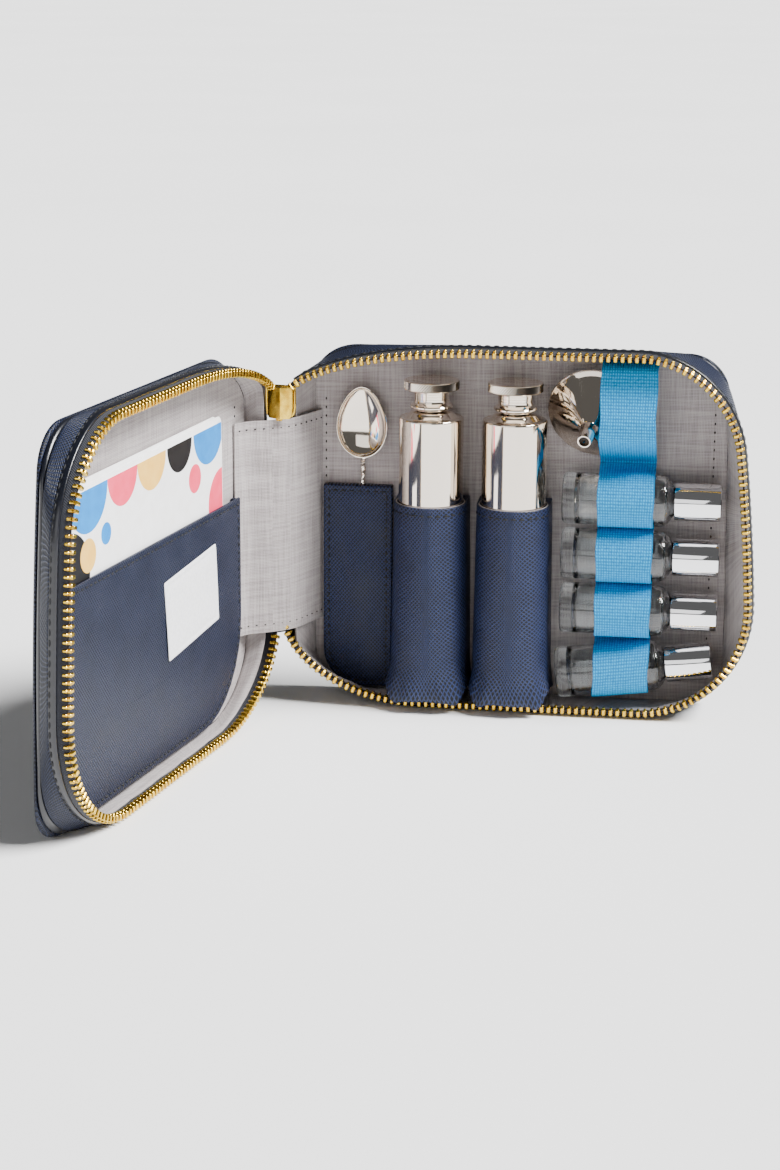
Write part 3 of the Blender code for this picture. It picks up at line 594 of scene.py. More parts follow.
def swept(
        tray, section, ends=wall_ends, spine=False, uneven=0.0, scale=60, sheet=False, spaced=None):
    """Sweep an (inset, depth) section in millimetres round the tray, or over its spine.

    Ends of None go all the way round, and others are filled. A section is a closed ring, but
    that of a sheet is a line that runs to the tray's middle. A spaced section keeps its insets
    along the fold too, and stands that many millimetres further off it."""
    whole = ends is None
    first, last = ends or (0, 0)
    rows = []
    for inset, w in section:
        gap = (inset + spaced) * mm if spaced is not None else 0
        line = wall_line(tray, inset * mm, w * mm, first, last, spine, gap)
        inner = wall_line(tray, (inset + 1) * mm, w * mm, first, last, spine, gap)
        row = []
        for p, q in zip(line, inner):
            point = p.lerp(q, uneven * noise.noise(p * scale))
            point.z = max(point.z, 0)
            row.append(point)
        rows.append(row)
    if spine:
        return rows
    return skin(rows, close_rows=not sheet, close_lines=whole, fill=sheet or not whole)


for tray in trays:
    back = tray.depth / mm - 4.1
    section = [(1.2, 7.3), (0.1, 7.25)] + [(0, w) for w in spread(7.6, back - 0.6, 5)]
    section += [(0.25, back - 0.15), (0.7, back), (1.2, back)]
    bm = swept(tray, section, uneven=0.18)
    tray_piece(tray, "leather_wall", bm, navy_leather, "side_wall", "navy_leather")

# %% [markdown]
# At the rim the leather is rolled over the zip tape and sewn down, which leaves a glossy
# round edge with a row of stitches behind it. A stitch is a small sunk capsule of waxed
# thread; one is drawn and copied along the line, turned to follow it.


# %% Rolled rim and its stitches
stitch_length = 2.4 * mm
stitch_gap = 0.8 * mm
rim_seam = 6.75 * mm


def frames_along(points, facing, spacing, start=0.0):
    """Matrices at an even spacing along a line: X runs along it and Z faces out."""
    distances = lengths(points)
    matrices = []
    at = 0
    target = start
    while target <= distances[-1]:
        while at < len(points) - 2 and distances[at + 1] < target:
            at += 1
        share = (target - distances[at]) / max(distances[at + 1] - distances[at], 0.001 * mm)
        along = (points[at + 1] - points[at]).normalized()
        out = facing[at].lerp(facing[at + 1], share)
        out = (out - along * out.dot(along)).normalized()
        matrix = Matrix((along, out.cross(along), out)).transposed().to_4x4()
        matrix.translation = points[at].lerp(points[at + 1], share)
        matrices.append(matrix)
        target += spacing
    return matrices


def facings(line, proud):
    """Which way each point faces: to the same point of a line that stands over its own."""
    return [q - p for p, q in zip(line, proud)]


def copies(template, matrices):
    """One bmesh that holds a small template at each matrix."""
    mesh = bpy.data.meshes.new("template")
    template.to_mesh(mesh)
    template.free()
    bm = bmesh.new()
    for matrix in matrices:
        bm.from_mesh(mesh)
        bm.verts.ensure_lookup_table()
        bmesh.ops.transform(bm, matrix=matrix, verts=bm.verts[-len(mesh.vertices):])
    bpy.data.meshes.remove(mesh)
    return bm


def stitches(
        name, points, facing, body, thread, length=stitch_length, gap=stitch_gap, radius=0.32 * mm):
    """A row of stitches along points, lying on a surface that faces the given way."""
    stitch = bmesh.new()
    bmesh.ops.create_uvsphere(stitch, u_segments=6, v_segments=4, radius=1)
    bmesh.ops.scale(stitch, vec=(length / 2, radius, radius), verts=stitch.verts)
    bm = copies(stitch, frames_along(points, facing, length + gap, length))
    for vert in bm.verts:
        vert.co.z = max(vert.co.z, 0)
    return piece(name, bm, thread, body, angle=80)


for tray in trays:
    section = softened([
        (1.3, 4.8), (0.7, 4.55), (0.0, 4.75), (-0.15, 5.6), (-0.02, 6.6), (0.02, 7.3), (1.3, 7.35)],
        0.5, 3)
    bm = swept(tray, section, uneven=0.12)
    tray_piece(tray, "rolled_rim", bm, edge_leather, "edge_binding", "navy_leather")
    line, proud = [
        wall_line(tray, inset * mm, rim_seam, *stitch_ends) for inset in (-0.02, -1)]
    stitches(tray.name + "_rim_stitches", line, facings(line, proud), tray.name, navy_thread)
    print(tray.name, "rim stitches:", int(lengths(line)[-1] / (stitch_length + stitch_gap)))

# %% [markdown]
# The back panel is board under leather, so its edge is rounded over about two millimetres and
# a pressed line runs just inside. A cord covered in leather, the piping, fills the groove
# between panel and wall. Both follow the whole outline, which closes along the spine.

# %% Back panels and piping
for tray in trays:
    d = tray.depth / mm
    rings = [
        (0.6, d - 1.75), (0.15, d - 1.65), (0.0, d - 1.3), (0.0, d - 0.95), (0.18, d - 0.5),
        (0.6, d - 0.17), (1.2, d - 0.03), (2.4, d), (2.9, d - 0.14), (3.3, d - 0.14), (3.8, d - 0.01),
        (8, d), (18, d), (30, d)]
    bm = swept(tray, rings, ends=None, sheet=True)
    flat_uv(bm, tray)
    tray_piece(tray, "panel", bm, navy_leather, "back_panel", "navy_leather", 50)
    section = [(1.2 + math.cos(angle), d - 2.9 + math.sin(angle)) for angle in round_angles(12)]
    bm = swept(tray, section, ends=None)
    tray_piece(tray, "corded_piping", bm, edge_leather, "piping", "navy_leather")
    print(tray.name, "panel at", round(d, 2), "mm")

# %% [markdown]
# ## The spine
# One soft piece of leather joins the trays and bends when the case shuts. It is swept along
# the part of the outline that the walls leave out, from the back of the base, over the fold,
# to the back of the lid.

# %% Leather spine
leather_thick = 0.7
full, under_tab, under_slider = 130, 113.2, 104
leaf_rows = (
    (base, ((full, (20.1, 17, 15.3)), (under_tab, (14, 11, 8)), (under_slider, (5.5, 3.5, 2, 0.9)))),
    (lid, ((under_slider, (0.9, 2, 3.5, 4.85)), (full, (5.3, 8, 10, 12.3)))))


def notched(row, top):
    """The row with every point over the notch's foot gathered at that foot."""
    below = [point for point in row if point.z < top]
    corner = Vector((below[-1].x, below[-1].y, min(top, row[-1].z)))
    return [point if point.z < top else corner.copy() for point in row]


outer, inner = [], []
for tray, blocks in leaf_rows:
    depths = [(w, top) for top, block in blocks for w in block]
    for inset, rows in ((0, outer), (leather_thick, inner)):
        leaf = swept(tray, [(inset, w) for w, top in depths], spine=True, uneven=0.25, spaced=0)
        rows += [notched(row, top * mm) for (w, top), row in zip(depths, leaf)]
bm = skin(outer + inner[::-1], close_rows=True)
ends = {vert.co.to_tuple(6): vert for vert in bm.verts if vert.is_boundary}
for end in (0, -1):
    pairs = [(ends[a[end].to_tuple(6)], ends[b[end].to_tuple(6)]) for a, b in zip(outer, inner)]
    for (a, b), (c, d) in zip(pairs, pairs[1:]):
        bm.faces.new((a, c, d, b))
spine_leather = piece(
    "spine_leather", bm, navy_leather, None, ["base_spine_leaf", "lid_spine_leaf"], "navy_leather")
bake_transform(spine_leather)
print("spine rows:", len(outer))

# %% [markdown]
# Inside, a strip of the lining linen spans the fold like the gusset of a bag. It hangs a
# little loose, so it has soft folds across it, and both its hems are turned and sewn. The
# strip is a grid whose points move away from the fold by a noise that is long one way.

# %% Linen gusset
gusset_foot = 28.4 * mm
gusset_head = 107.1 * mm
gusset_thick = 0.5 * mm
gusset_steps = 30
gusset_rises = 60


def gusset_path(lift):
    """Points (x, y) of the gusset from the base's lining to the lid's, raised by lift."""
    corners = [
        base.at(11.4 * mm + lift, 20.0 * mm, 0), base.at(9.6 * mm + lift, 16 * mm, 0),
        base.at(3.2 * mm + lift, 2.0 * mm + lift, 0), lid.at(3.2 * mm + lift, 2.0 * mm + lift, 0),
        lid.at(8.5 * mm + lift, 9.4 * mm, 0), lid.at(14.8 * mm, 12.1 * mm - lift, 0)]
    dense = softened(corners, 6 * mm, 6)
    spacing = lengths(dense)[-1] / (gusset_steps + 0.001)      # rounding can't lose the last point
    up = [Vector((0, 0, 1))] * len(dense)
    return [matrix.translation for matrix in frames_along(dense, up, spacing)]


def gusset_row(index, lift):
    """One row of the strip, from hem to hem, with soft folds across it."""
    point = gusset_path(lift)[index]
    row = []
    ease = math.sin(math.pi * index / gusset_steps) ** 0.5
    for v in spread(gusset_foot, gusset_head, gusset_rises):
        fold_wave = noise.noise(Vector((index * 0.09, v / (7 * mm), 3.0)))
        out = Vector((1, -1, 0)).normalized() * mm * (0.45 + 0.5 * fold_wave) * ease
        row.append(Vector((point.x, point.y, v)) + out)
    return row


front, rear = [
    [gusset_row(index, lift) for index in range(gusset_steps + 1)] for lift in (gusset_thick, 0.0)]
bm = skin(front + rear[::-1], close_rows=True, fill=True)
gusset = piece("linen_gusset", bm, grey_linen, None, ["spine_lining"], "grey_lining", 60)
middle = gusset_rises // 2
gusset_length = lengths([row[middle] for row in front])[-1]
print("gusset", round(gusset_length * 1000, 1), "mm long")
for name, v in (("foot", gusset_foot + 3 * mm), ("head", gusset_head - 3 * mm)):
    line = [Vector((row[middle].x, row[middle].y, v)) for row in front]
    facing = [Vector((1, -1, 0))] * len(line)
    hem = stitches(
        "gusset_" + name + "_stitches", line, facing, None, dark_thread,
        1.0 * mm, 2.3 * mm, 0.32 * mm)
    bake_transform(hem)
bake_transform(gusset)

# %% [markdown]
# ## Lining
# The same linen covers the inside of the walls and the floor of each tray. On the walls it
# is eased round the corners, so its front edge ruffles. The floor is stretched over thin
# board, and its rim is turned down at the wall.

# %% Wall and floor lining
for tray, off_fold in ((base, 1.9), (lid, 0.2)):
    floor = tray.depth / mm - 3.7
    section = [(1.5, 5.9), (1.85, 5.35), (2.4, 5.3), (2.6, 5.8), (2.45, 7.4)]
    section += list(zip(spread(2.4, 2.05, 4), spread(7.4, floor - 0.2, 4)))[1:]
    section += [(1.6, floor + 0.2), (1.5, floor / 2 + 4)]
    bm = swept(tray, section, ends=None, uneven=0.45, scale=150, spaced=off_fold)
    tray_piece(tray, "linen_wall", bm, grey_linen, "wall_lining", "grey_lining", 60)
    rings = [
        (1.9, floor + 0.45), (1.8, floor + 0.2), (2.1, floor + 0.03), (3, floor), (5, floor + 0.02),
        (10, floor), (20, floor), (30, floor)]
    bm = swept(tray, rings, ends=None, sheet=True)
    flat_uv(bm, tray)
    tray_piece(tray, "linen_floor", bm, grey_linen, "back_lining", "grey_lining", 60)
    for slot in frame["nodes"][tray.name + "_stiffener_board"].material_slots:
        slot.material = grey_board
    print(tray.name, "floor at", round(floor, 2), "mm")

# %% [markdown]
# The floor lining is sewn down near both ends of the base, and near the lid's fold. The
# thread is dark, and from the front each stitch is only a dot, so the rows are short capsules
# with wide gaps.

# %% Seams of the floor lining
for tray, seams in ((base, ((13.3, 14, 118), (154.2, 22, 112))), (lid, ((12.9, 22, 116),))):
    floor = tray.depth - 3.78 * mm
    for index, (u, foot, top) in enumerate(seams):
        line = [tray.at(u * mm, floor, v * mm) for v in range(foot, top, 4)]
        facing = [tray.at(0, -1, 0) - tray.at(0, 0, 0)] * len(line)
        stitches(
            "%s_lining_seam_%d" % (tray.name, index + 1), line, facing, tray.name, dark_thread,
            1.1 * mm, 2.1 * mm, 0.3 * mm)
    print(tray.name, "seams:", len(seams))

# %% [markdown]
# ## The zip
# A metal zip has Y-shaped teeth, stamped and crimped one by one on the beaded edge of a
# woven tape. One tooth is a leg block with a narrower head, bevelled all round, and it is
# copied every 2.5 mm. The lid's row starts half a pitch later, so that the rows can mesh.

# %% Teeth and tape
tooth_pitch = 2.5 * mm
tooth_depth = 1.55 * mm


def tooth(inwards):
    """One tooth: X along the zip, Y across its tape (inwards is 1 or -1), Z outwards."""
    bm = bmesh.new()
    for size, y, z in (((1.05, 1.7, 3.1), 0.45, 0), ((1.3, 1.5, 2.3), -0.75, -0.2)):
        made = bmesh.ops.create_cube(bm, size=1)["verts"]
        bmesh.ops.scale(bm, vec=[value * mm for value in size], verts=made)
        bmesh.ops.translate(bm, vec=(0, y * inwards * mm, z * mm), verts=made)
    bmesh.ops.bevel(
        bm, geom=bm.edges[:], offset=0.26 * mm, segments=1, affect="EDGES", profile=0.5, material=-1)
    return bm


for tray, start, inwards, foot, head in (
        (base, 0.6 * mm, -1, 11, 17), (lid, 0.6 * mm + tooth_pitch / 2, 1, 14, 20)):
    zip_ends = (math.radians(foot), math.radians(head))
    line, proud = [wall_line(tray, inset * mm, tooth_depth, *zip_ends) for inset in (2.2, 1.2)]
    bm = copies(tooth(inwards), frames_along(line, facings(line, proud), tooth_pitch, start))
    tray_piece(tray, "brass_teeth", bm, brass, "zip_teeth", "brass_zip", 35)
    section = softened([
        (1.75, 1.1), (1.2, 2.4), (0.85, 3.8), (0.8, 5.2), (1.25, 6.2), (1.45, 5.4), (1.5, 3.8),
        (1.9, 2.6), (2.4, 1.3)], 0.3, 2)
    bm = swept(tray, section, ends=zip_ends, uneven=0.15, scale=90)
    tray_piece(tray, "woven_tape", bm, zip_tape, "zip_tape", "navy_tape")
    print(tray.name, "teeth:", int(lengths(line)[-1] / tooth_pitch))

# %% [markdown]
# The slider is cast in two shield-shaped plates on a post, narrow where the closed zip
# leaves it, and its pull tab hangs from a bridge. The plates are polygons extruded and
# bevelled. The front one is cut along a ridge, from which it falls away to both sides, and
# two flanges stand on the rear one.

# %% Slider and pull
slider_turn = Matrix.Rotation(math.radians(-8), 4, "Z")
slider_foot = 107.5 * mm
slider_head = 119.0 * mm


def extruded(points, place, depth, rounding):
    """A polygon of (x, z) points at depth y, extruded along Y and bevelled."""
    bm = bmesh.new()
    face = bm.faces.new([bm.verts.new((x * mm, place * mm, z * mm)) for x, z in points])
    made = bmesh.ops.extrude_face_region(bm, geom=[face])
    bmesh.ops.translate(bm, vec=(0, depth * mm, 0), verts=list(new_verts(made)))
    bmesh.ops.recalc_face_normals(bm, faces=bm.faces)
    bmesh.ops.bevel(
        bm, geom=bm.edges[:], offset=rounding * mm, segments=3, affect="EDGES", profile=0.5,
        material=-1)
    return bm


def joined(parts):
    """Several bmeshes as one."""
    whole = bmesh.new()
    for part in parts:
        mesh = bpy.data.meshes.new("part")
        part.to_mesh(mesh)
        part.free()
        whole.from_mesh(mesh)
        bpy.data.meshes.remove(mesh)
    return whole


shield = [
    (-3.8, 0), (3.8, 0), (4.7, 1.3), (5.0, 4.0), (5.0, 10.8), (4.5, 11.5), (-4.5, 11.5),
    (-5.0, 10.8), (-5.0, 4.0), (-4.7, 1.3)]
wedge = [(-0.8, 1.0), (0.8, 1.0), (1.6, 5.2), (1.3, 10.6), (-1.3, 10.6), (-1.6, 5.2)]
ridge = 0.9 * mm
front_face = -3.0 * mm
falls = (0.42, 0.62)
front_plate = extruded(shield, -3.6, 2.3, 0.12)
bmesh.ops.bisect_plane(
    front_plate, geom=front_plate.verts[:] + front_plate.edges[:] + front_plate.faces[:],
    plane_co=(ridge, 0, 0), plane_no=(1, 0, 0))
for vert in front_plate.verts:
    if vert.co.y < front_face:
        vert.co.y += abs(vert.co.x - ridge) * falls[vert.co.x >= ridge]
tongue = [(-1.1, -0.9), (1.1, -0.9), (1.4, 0.6), (-1.4, 0.6)]
bridge = [(-1.0, 6.0), (1.0, 6.0), (1.0, 11.0), (-1.0, 11.0)]
parts = [
    front_plate, extruded(shield, 1.65, 1.15, 0.35), extruded(wedge, -2.2, 4.4, 0.2),
    extruded(tongue, -2.2, 1.0, 0.25), extruded(bridge, 2.6, 0.5, 0.2)]
for side in (-1, 1):
    flange = [(side * 4.2, 4.6), (side * 5.0, 4.8), (side * 5.0, 10.2), (side * 4.2, 10.2)]
    parts.append(extruded(flange, 1.0, 1.0, 0.2))
bm = joined(parts)
place = Matrix.Translation(fold + Vector((0, 0, slider_foot))) @ slider_turn
bmesh.ops.transform(bm, matrix=place, verts=bm.verts)
piece("cast_slider", bm, brass, "base", ["zip_slider"], "brass_zip", 30)

tab = [
    (-1.7, 0.8), (1.7, 0.8), (2.5, -0.6), (2.5, -10.2), (1.7, -11.2), (-1.7, -11.2), (-2.5, -10.2),
    (-2.5, -0.6)]
bm = extruded(tab, -0.5, 1.0, 0.3)
pivot = Vector((0, 3.95 * mm, slider_head - 2.4 * mm - slider_foot))
bmesh.ops.transform(bm, matrix=place @ Matrix.Translation(pivot), verts=bm.verts)
piece("pull_tab", bm, brass, "zip_pull", ["zip_pull"], "brass_zip", 30)
print("slider parts:", len(parts))

# %% [markdown]
# ## Hip flasks
# A flask is a drawn steel tube with a spun shoulder, and its cap has a knurled disc over a
# stepped collar. All are lathe shapes: half profiles spun about the flask's own axis. The
# knurl moves every second column of the disc's rim inwards and turns each row a little
# further than the one under it, so the flutes run aslant. One side of each flute takes a
# darker, duller steel, as painted shade.

# %% Flasks
round_steps = 72
flask_w = 7.85 * mm
flask_us = {"left": 53.4 * mm, "right": 83.4 * mm}


def profile_mm(points, radius=0.0, steps=3):
    """A (radius, height) profile in millimetres, its corners rounded."""
    line = softened(points, radius, steps) if radius else map(Vector, points)
    return [(point.x * mm, point.y * mm) for point in line]


body_profile = profile_mm([
    (0, 6.0), (9.4, 5.9), (11.4, 6.0), (11.6, 7.0), (11.6, 40), (11.6, 107.5), (11.45, 108.0),
    (11.0, 108.15), (10.7, 107.95), (9.4, 108.3), (8.2, 109.3), (7.4, 110.2), (5.6, 110.5),
    (5.3, 111.0), (5.3, 117.2), (3.8, 117.2), (3.8, 109.0), (8.0, 107.6), (10.8, 106.0), (10.8, 60),
    (10.8, 8.6), (9.4, 7.2), (0, 7.0)], 0.3)
cap_profile = profile_mm([
    (0, 121.45), (5, 121.5), (8.9, 121.6), (9.4, 121.6), (9.7, 121.45), (9.85, 121.2),
    (9.85, 120.6), (9.85, 120.0), (9.85, 119.4), (9.85, 118.8), (9.85, 118.5), (9.7, 118.3),
    (9.3, 118.2), (6.9, 118.15), (6.25, 117.9), (6.2, 117.3), (6.05, 117.2), (6.05, 117.0),
    (6.2, 116.9), (6.2, 116.3), (6.05, 116.2), (6.05, 116.0), (6.2, 115.9), (6.2, 115.3),
    (6.05, 115.2), (6.05, 115.0), (6.2, 114.9), (6.2, 114.3), (6.35, 113.6), (6.9, 113.0),
    (7.55, 112.7), (7.75, 112.35), (7.75, 112.0), (7.5, 111.7), (6.6, 111.5), (6.2, 111.15),
    (5.65, 111.1), (5.65, 118.35), (0, 118.4)])
seal_profile = profile_mm([
    (0, 117.5), (5.1, 117.5), (5.3, 117.7), (5.3, 118.1), (5.1, 118.3), (0, 118.3)])
flutes = 60
flute_slant = math.radians(5.5) / mm
flute_depth = 0.03
knurl_radius = 9.8 * mm
knurl_middle = 119.85 * mm


def column(point):
    """Which column of the knurl a point is in, as it comes from the lathe."""
    return math.atan2(point.y, point.x) / math.tau * 2 * flutes


for side, u in flask_us.items():
    name = "flask_" + side
    centre = Matrix.Translation(base.at(u, flask_w, 0))
    bm = turned(body_profile, round_steps, centre)
    piece(name + "_bottle", bm, steel, name, [name], "polished_steel", 30)
    bm = turned(cap_profile, 2 * flutes)
    for face in bm.faces:
        # One side of each flute gets the darker steel: painted shade.
        shaded_flank = column(face.calc_center_median()) % 2 > 1
        nearest = min(vert.co.xy.length for vert in face.verts)
        face.material_index = int(shaded_flank and nearest > knurl_radius)
    for vert in bm.verts:
        if vert.co.xy.length > knurl_radius:
            vert.co.xy *= 1 - flute_depth * (round(column(vert.co)) % 2)
            vert.co = Matrix.Rotation(flute_slant * (vert.co.z - knurl_middle), 3, "Z") @ vert.co
    bmesh.ops.transform(bm, matrix=centre, verts=bm.verts)
    cap = name + "_cap"
    piece(name + "_knurled_cap", bm, [steel, knurl_shade], cap, [cap], "polished_steel", 25)
    bm = turned(seal_profile, round_steps, centre)
    piece(name + "_seal_disc", bm, white_rubber, name + "_seal", [name + "_seal"], "seal_rubber", 30)
heights = [height for radius, height in body_profile + cap_profile]
print("flask height", round((max(heights) - min(heights)) / mm, 1), "mm")

# %% [markdown]
# ## Flask pockets
# Each pocket is one piece of leather shaped over the flask and sewn down at both sides. Its
# foot is gathered into a flat bottom, so the leather swells and creases there. The section
# is a rounded box whose front follows the flask; creases are waves that fade upwards. A thin
# ring of lining shows at the mouth.

# %% Gathered pockets
pocket_foot = 4.4 * mm
pocket_top = 77.1 * mm
pocket_back = 20.0 * mm
pocket_steps = 96
gather_height = 13 * mm
pleats = 11
corner_lift = 4.8 * mm
foot_droop = 1.3 * mm
seam_height = 74.3 * mm
seam_points = slice(50, 95)        # of a section: its front, short of both seams
edge_radius = 12.3 * mm
edge_height = 77.05 * mm
edge_thick = 0.22 * mm
edge_stitch = (2.1 * mm, 0.9 * mm, 0.42 * mm)


def gathered(v):
    """How much of the foot's gathers a level has: 1 at the foot, 0 from gather_height up."""
    return max(0, 1 - (v - pocket_foot) / gather_height)


def pocket_section(v, inset, side):
    """One level line of a pocket, from its right seam round the back and then the front."""
    low = gathered(v)
    rise = (v - pocket_foot) / (pocket_top - pocket_foot)
    reach = 12.95 * mm - inset + 1.5 * mm * low ** 1.5 * (1 - 0.75 * low ** 6)
    half = widest = (13.2 + 0.9 * (1 - rise) + 1.1 * low ** 1.5) * mm - inset
    back = pocket_back - flask_w - inset
    squareness = 2 + 0.9 * low + 0.25 * (1 - rise)
    points = []
    for step, angle in enumerate(round_angles(pocket_steps)):
        across, along = math.cos(angle), math.sin(angle)
        if side == 0 and across < 0:
            half = widest + 0.9 * mm * low * -across
        if step <= pocket_steps // 2:
            stretch = min(half / max(abs(across), 0.001), back / max(along, 0.001))
            x, y = stretch * across, stretch * along
        else:
            x = half * math.copysign(abs(across) ** (2 / squareness), across)
            y = -reach * abs(along) ** (2 / squareness)
            pleat = math.sin(angle * pleats + side * 2) * low ** 1.3 * 0.45 * mm
            slack = 0.3 * mm * noise.noise(Vector((x * 90, v * 55, side * 5.0)))
            y += (pleat + slack) * abs(along)
        points.append((x, y))
    return points


def foot_lift(v, step):
    """How far the gathered foot is drawn up at its corners, and hangs down beside them."""
    low = gathered(v)
    across = abs(math.cos(round_angles(pocket_steps)[step]))
    corner = max(0, (across - 0.72) / 0.28)
    droop = math.exp(-((across - 0.6) / 0.16) ** 2) if step > pocket_steps // 2 else 0
    lift = corner_lift * corner * corner * (3 - 2 * corner)
    return (lift - foot_droop * droop) * low * low


def bore_section(radius):
    """A level circle about a flask's axis, with as many points as a pocket's section."""
    return [
        (radius * math.cos(angle), radius * math.sin(angle)) for angle in round_angles(pocket_steps)]


def level_line(u, v, section):
    """A section about a flask's axis at u, laid in the base at one height."""
    return [base.at(u + x, flask_w + y, v) for x, y in section]


levels = [
    4.4, 4.6, 5.2, 6.2, 7.4, 8.8, 10.4, 12.2, 14.5, 17, 20, 24, 29, 35, 42, 50, 58, 66, 72, 75, 76.4,
    76.9]
shrinks = {4.4: 1.2 * mm, 4.6: 0.5 * mm}
for index, (side, u) in enumerate(flask_us.items()):
    rows = [level_line(u, 5.3 * mm, pocket_section(pocket_foot, 3.4 * mm, index))]
    for v in levels:
        section = pocket_section(v * mm, shrinks.get(v, 0), index)
        rows.append([
            base.at(u + x, flask_w + y, v * mm + foot_lift(v * mm, step))
            for step, (x, y) in enumerate(section)])
    rows.append(level_line(u, pocket_top, pocket_section(pocket_top, 0.35 * mm, index)))
    for radius, v in ((12.05, 77.0), (11.95, 76.5), (11.95, 60), (11.8, 5.8)):
        rows.append(level_line(u, v * mm, bore_section(radius * mm)))
    bm = skin(rows, close_lines=True, fill=True)
    pocket = "flask_pocket_" + side
    piece(pocket + "_leather", bm, lit_pocket_leather, "base", [pocket], "navy_leather", 60)
    line, proud = [
        level_line(u, seam_height, pocket_section(seam_height, inset * mm, index)[seam_points])
        for inset in (-0.02, -1)]
    stitches(pocket + "_stitches", line, facings(line, proud), "base", navy_thread, *edge_stitch)
    rows = []
    for angle in round_angles(8):
        section = bore_section(edge_radius + edge_thick * math.cos(angle))
        rows.append(level_line(u, edge_height + edge_thick * math.sin(angle), section))
    bm = skin(rows, close_rows=True, close_lines=True)
    piece(pocket + "_lining_edge", bm, grey_linen, "base", slot="grey_lining")
print("pocket levels:", len(levels))

# %% [markdown]
# ## Flat plates
# The spoon pocket, card pocket, label and cards are all flat pieces with rounded corners
# and a softened rim. One tool draws such an outline at several insets and skins them.


# %% Plates and the spoon pocket
def rounded(size, corners, inset, steps=8, along=12):
    """A closed outline in metres, set in from a size in millimetres.

    Its corners have their own radii: foot left, foot right, top right, top left."""
    left, right, foot, top = size
    sides = [value * mm for value in (left + inset, right - inset, foot + inset, top - inset)]
    arcs = []
    for place, radius, first in zip(((0, 0), (1, 0), (1, 1), (0, 1)), corners, (1, 1.5, 0, 0.5)):
        reach = (max(radius - inset, 0.3) * mm,) * 2
        arcs.append(arc(sides, place, reach, first * math.pi, (first + 0.5) * math.pi, steps))
    return chained(arcs + [arcs[0][:1]], along)[:-1]


def plate(place, size, corners, rings):
    """Skin a rounded plate through (inset, depth) rings in millimetres. place maps (u, w, v)."""
    rows = [[place(u, w * mm, v) for u, v in rounded(size, corners, inset)] for inset, w in rings]
    return skin(rows, close_lines=True, fill=True)


def inset_line(place, size, corners, inset, w):
    """Points and facings along a plate's inset line, for stitches."""
    line, proud = [
        [place(u, depth * mm, v) for u, v in rounded(size, corners, inset)] for depth in (w, w - 1)]
    return line, facings(line, proud)


spoon_size = (12.8, 38.3, 3.4, 79.9)
spoon_corners = (14, 2, 0.6, 0.6)


def over_spoon(u, w, v):
    """The pocket swells a little over the spoon's handle."""
    swell = 0.5 * mm * math.exp(-((u - 27 * mm) / (5 * mm)) ** 2) if w < 18 * mm else 0
    return base.at(u, w - swell, v)


rings = [
    (0.2, 20.0), (0, 19.8), (0, 17.0), (0.12, 16.6), (0.5, 16.4), (1.6, 16.32), (2.1, 16.5),
    (2.6, 16.38), (4, 16.3), (7, 16.3), (10, 16.3)]
bm = plate(over_spoon, spoon_size, spoon_corners, rings)
flat_uv(bm, base)
piece("spoon_pocket_leather", bm, lit_pocket_leather, "base", ["spoon_pocket"], "navy_leather", 60)
points, facing = inset_line(over_spoon, spoon_size, spoon_corners, 2.1, 16.45)
stitches("spoon_pocket_stitches", points, facing, "base", navy_thread, *edge_stitch)
print("points round the spoon pocket:", len(points))

# %% [markdown]
# ## Bar spoon
# The spoon is stamped from steel: an egg-shaped bowl, wide near its stem, that draws down
# into a flat twisted stem. The bowl is a spun dish, squeezed to an egg; the stem is an
# eight-sided section swept downwards and turned a little at every step.

# %% Spoon
spoon_u = 27.15 * mm
spoon_w = 19.1 * mm
spoon_v = 103.6 * mm
bowl_radius = 13.1
bowl_steps = 12
stem_steps = 120
stem_sides = 8
stem_foot, stem_head = -92.2, -12.0
stem_twist = 30                    # degrees to a millimetre
angles = spread(0, 0.5 * math.pi, bowl_steps)
dish = [(bowl_radius * math.sin(angle), 4.2 * (1 - math.cos(angle))) for angle in angles]
rim = [(12.95, 4.25), (12.8, 4.22)]
hollow = [(12.75 * math.sin(angle), 4.15 - 3.75 * math.cos(angle)) for angle in angles[::-1]]
bowl = turned(profile_mm(dish + rim + hollow), 64)
for vert in bowl.verts:
    along = vert.co.y / (bowl_radius * mm)
    vert.co.x *= 0.70 * (1 - 0.15 * along - 0.06 * along * along)
bmesh.ops.transform(bowl, matrix=Matrix.Rotation(math.pi / 2, 4, "X"), verts=bowl.verts)
rows = []
for v in spread(stem_foot, stem_head, stem_steps):
    near = max(0, (v + 17) / 5.0)
    half = (0.9 + 0.5 * near) * mm
    thick = 0.65 * mm
    turn = math.radians(v * stem_twist) * (1 - min(1, near * 1.5)) if v < -13.5 else 0
    lift = -0.55 * mm - 1.9 * mm * max(0, (v + 15) / 3.0)
    row = []
    for angle in round_angles(stem_sides):
        angle += math.pi / stem_sides
        x, y = 1.05 * half * math.cos(angle), 1.05 * thick * math.sin(angle)
        point = Matrix.Rotation(turn, 2) @ Vector((x, y))
        row.append(Vector((point.x, point.y + lift, v * mm)))
    rows.append(row)
bm = joined([bowl, skin(rows, close_lines=True, fill=True)])
bmesh.ops.translate(bm, vec=base.at(spoon_u, spoon_w, spoon_v), verts=bm.verts)
piece("spoon_bowl_and_stem", bm, steel, "bar_spoon", ["bar_spoon"], "polished_steel", 35)
print("spoon rows:", len(rows))

# %% [markdown]
# ## Vials
# Each vial is blown glass with a thick base, rounded shoulder and a short neck, and lies on
# its side. Its cap is a plain chromed tube. Both are spun upright, then laid along their axis;
# the lowest leans up along the rounded corner of the case.

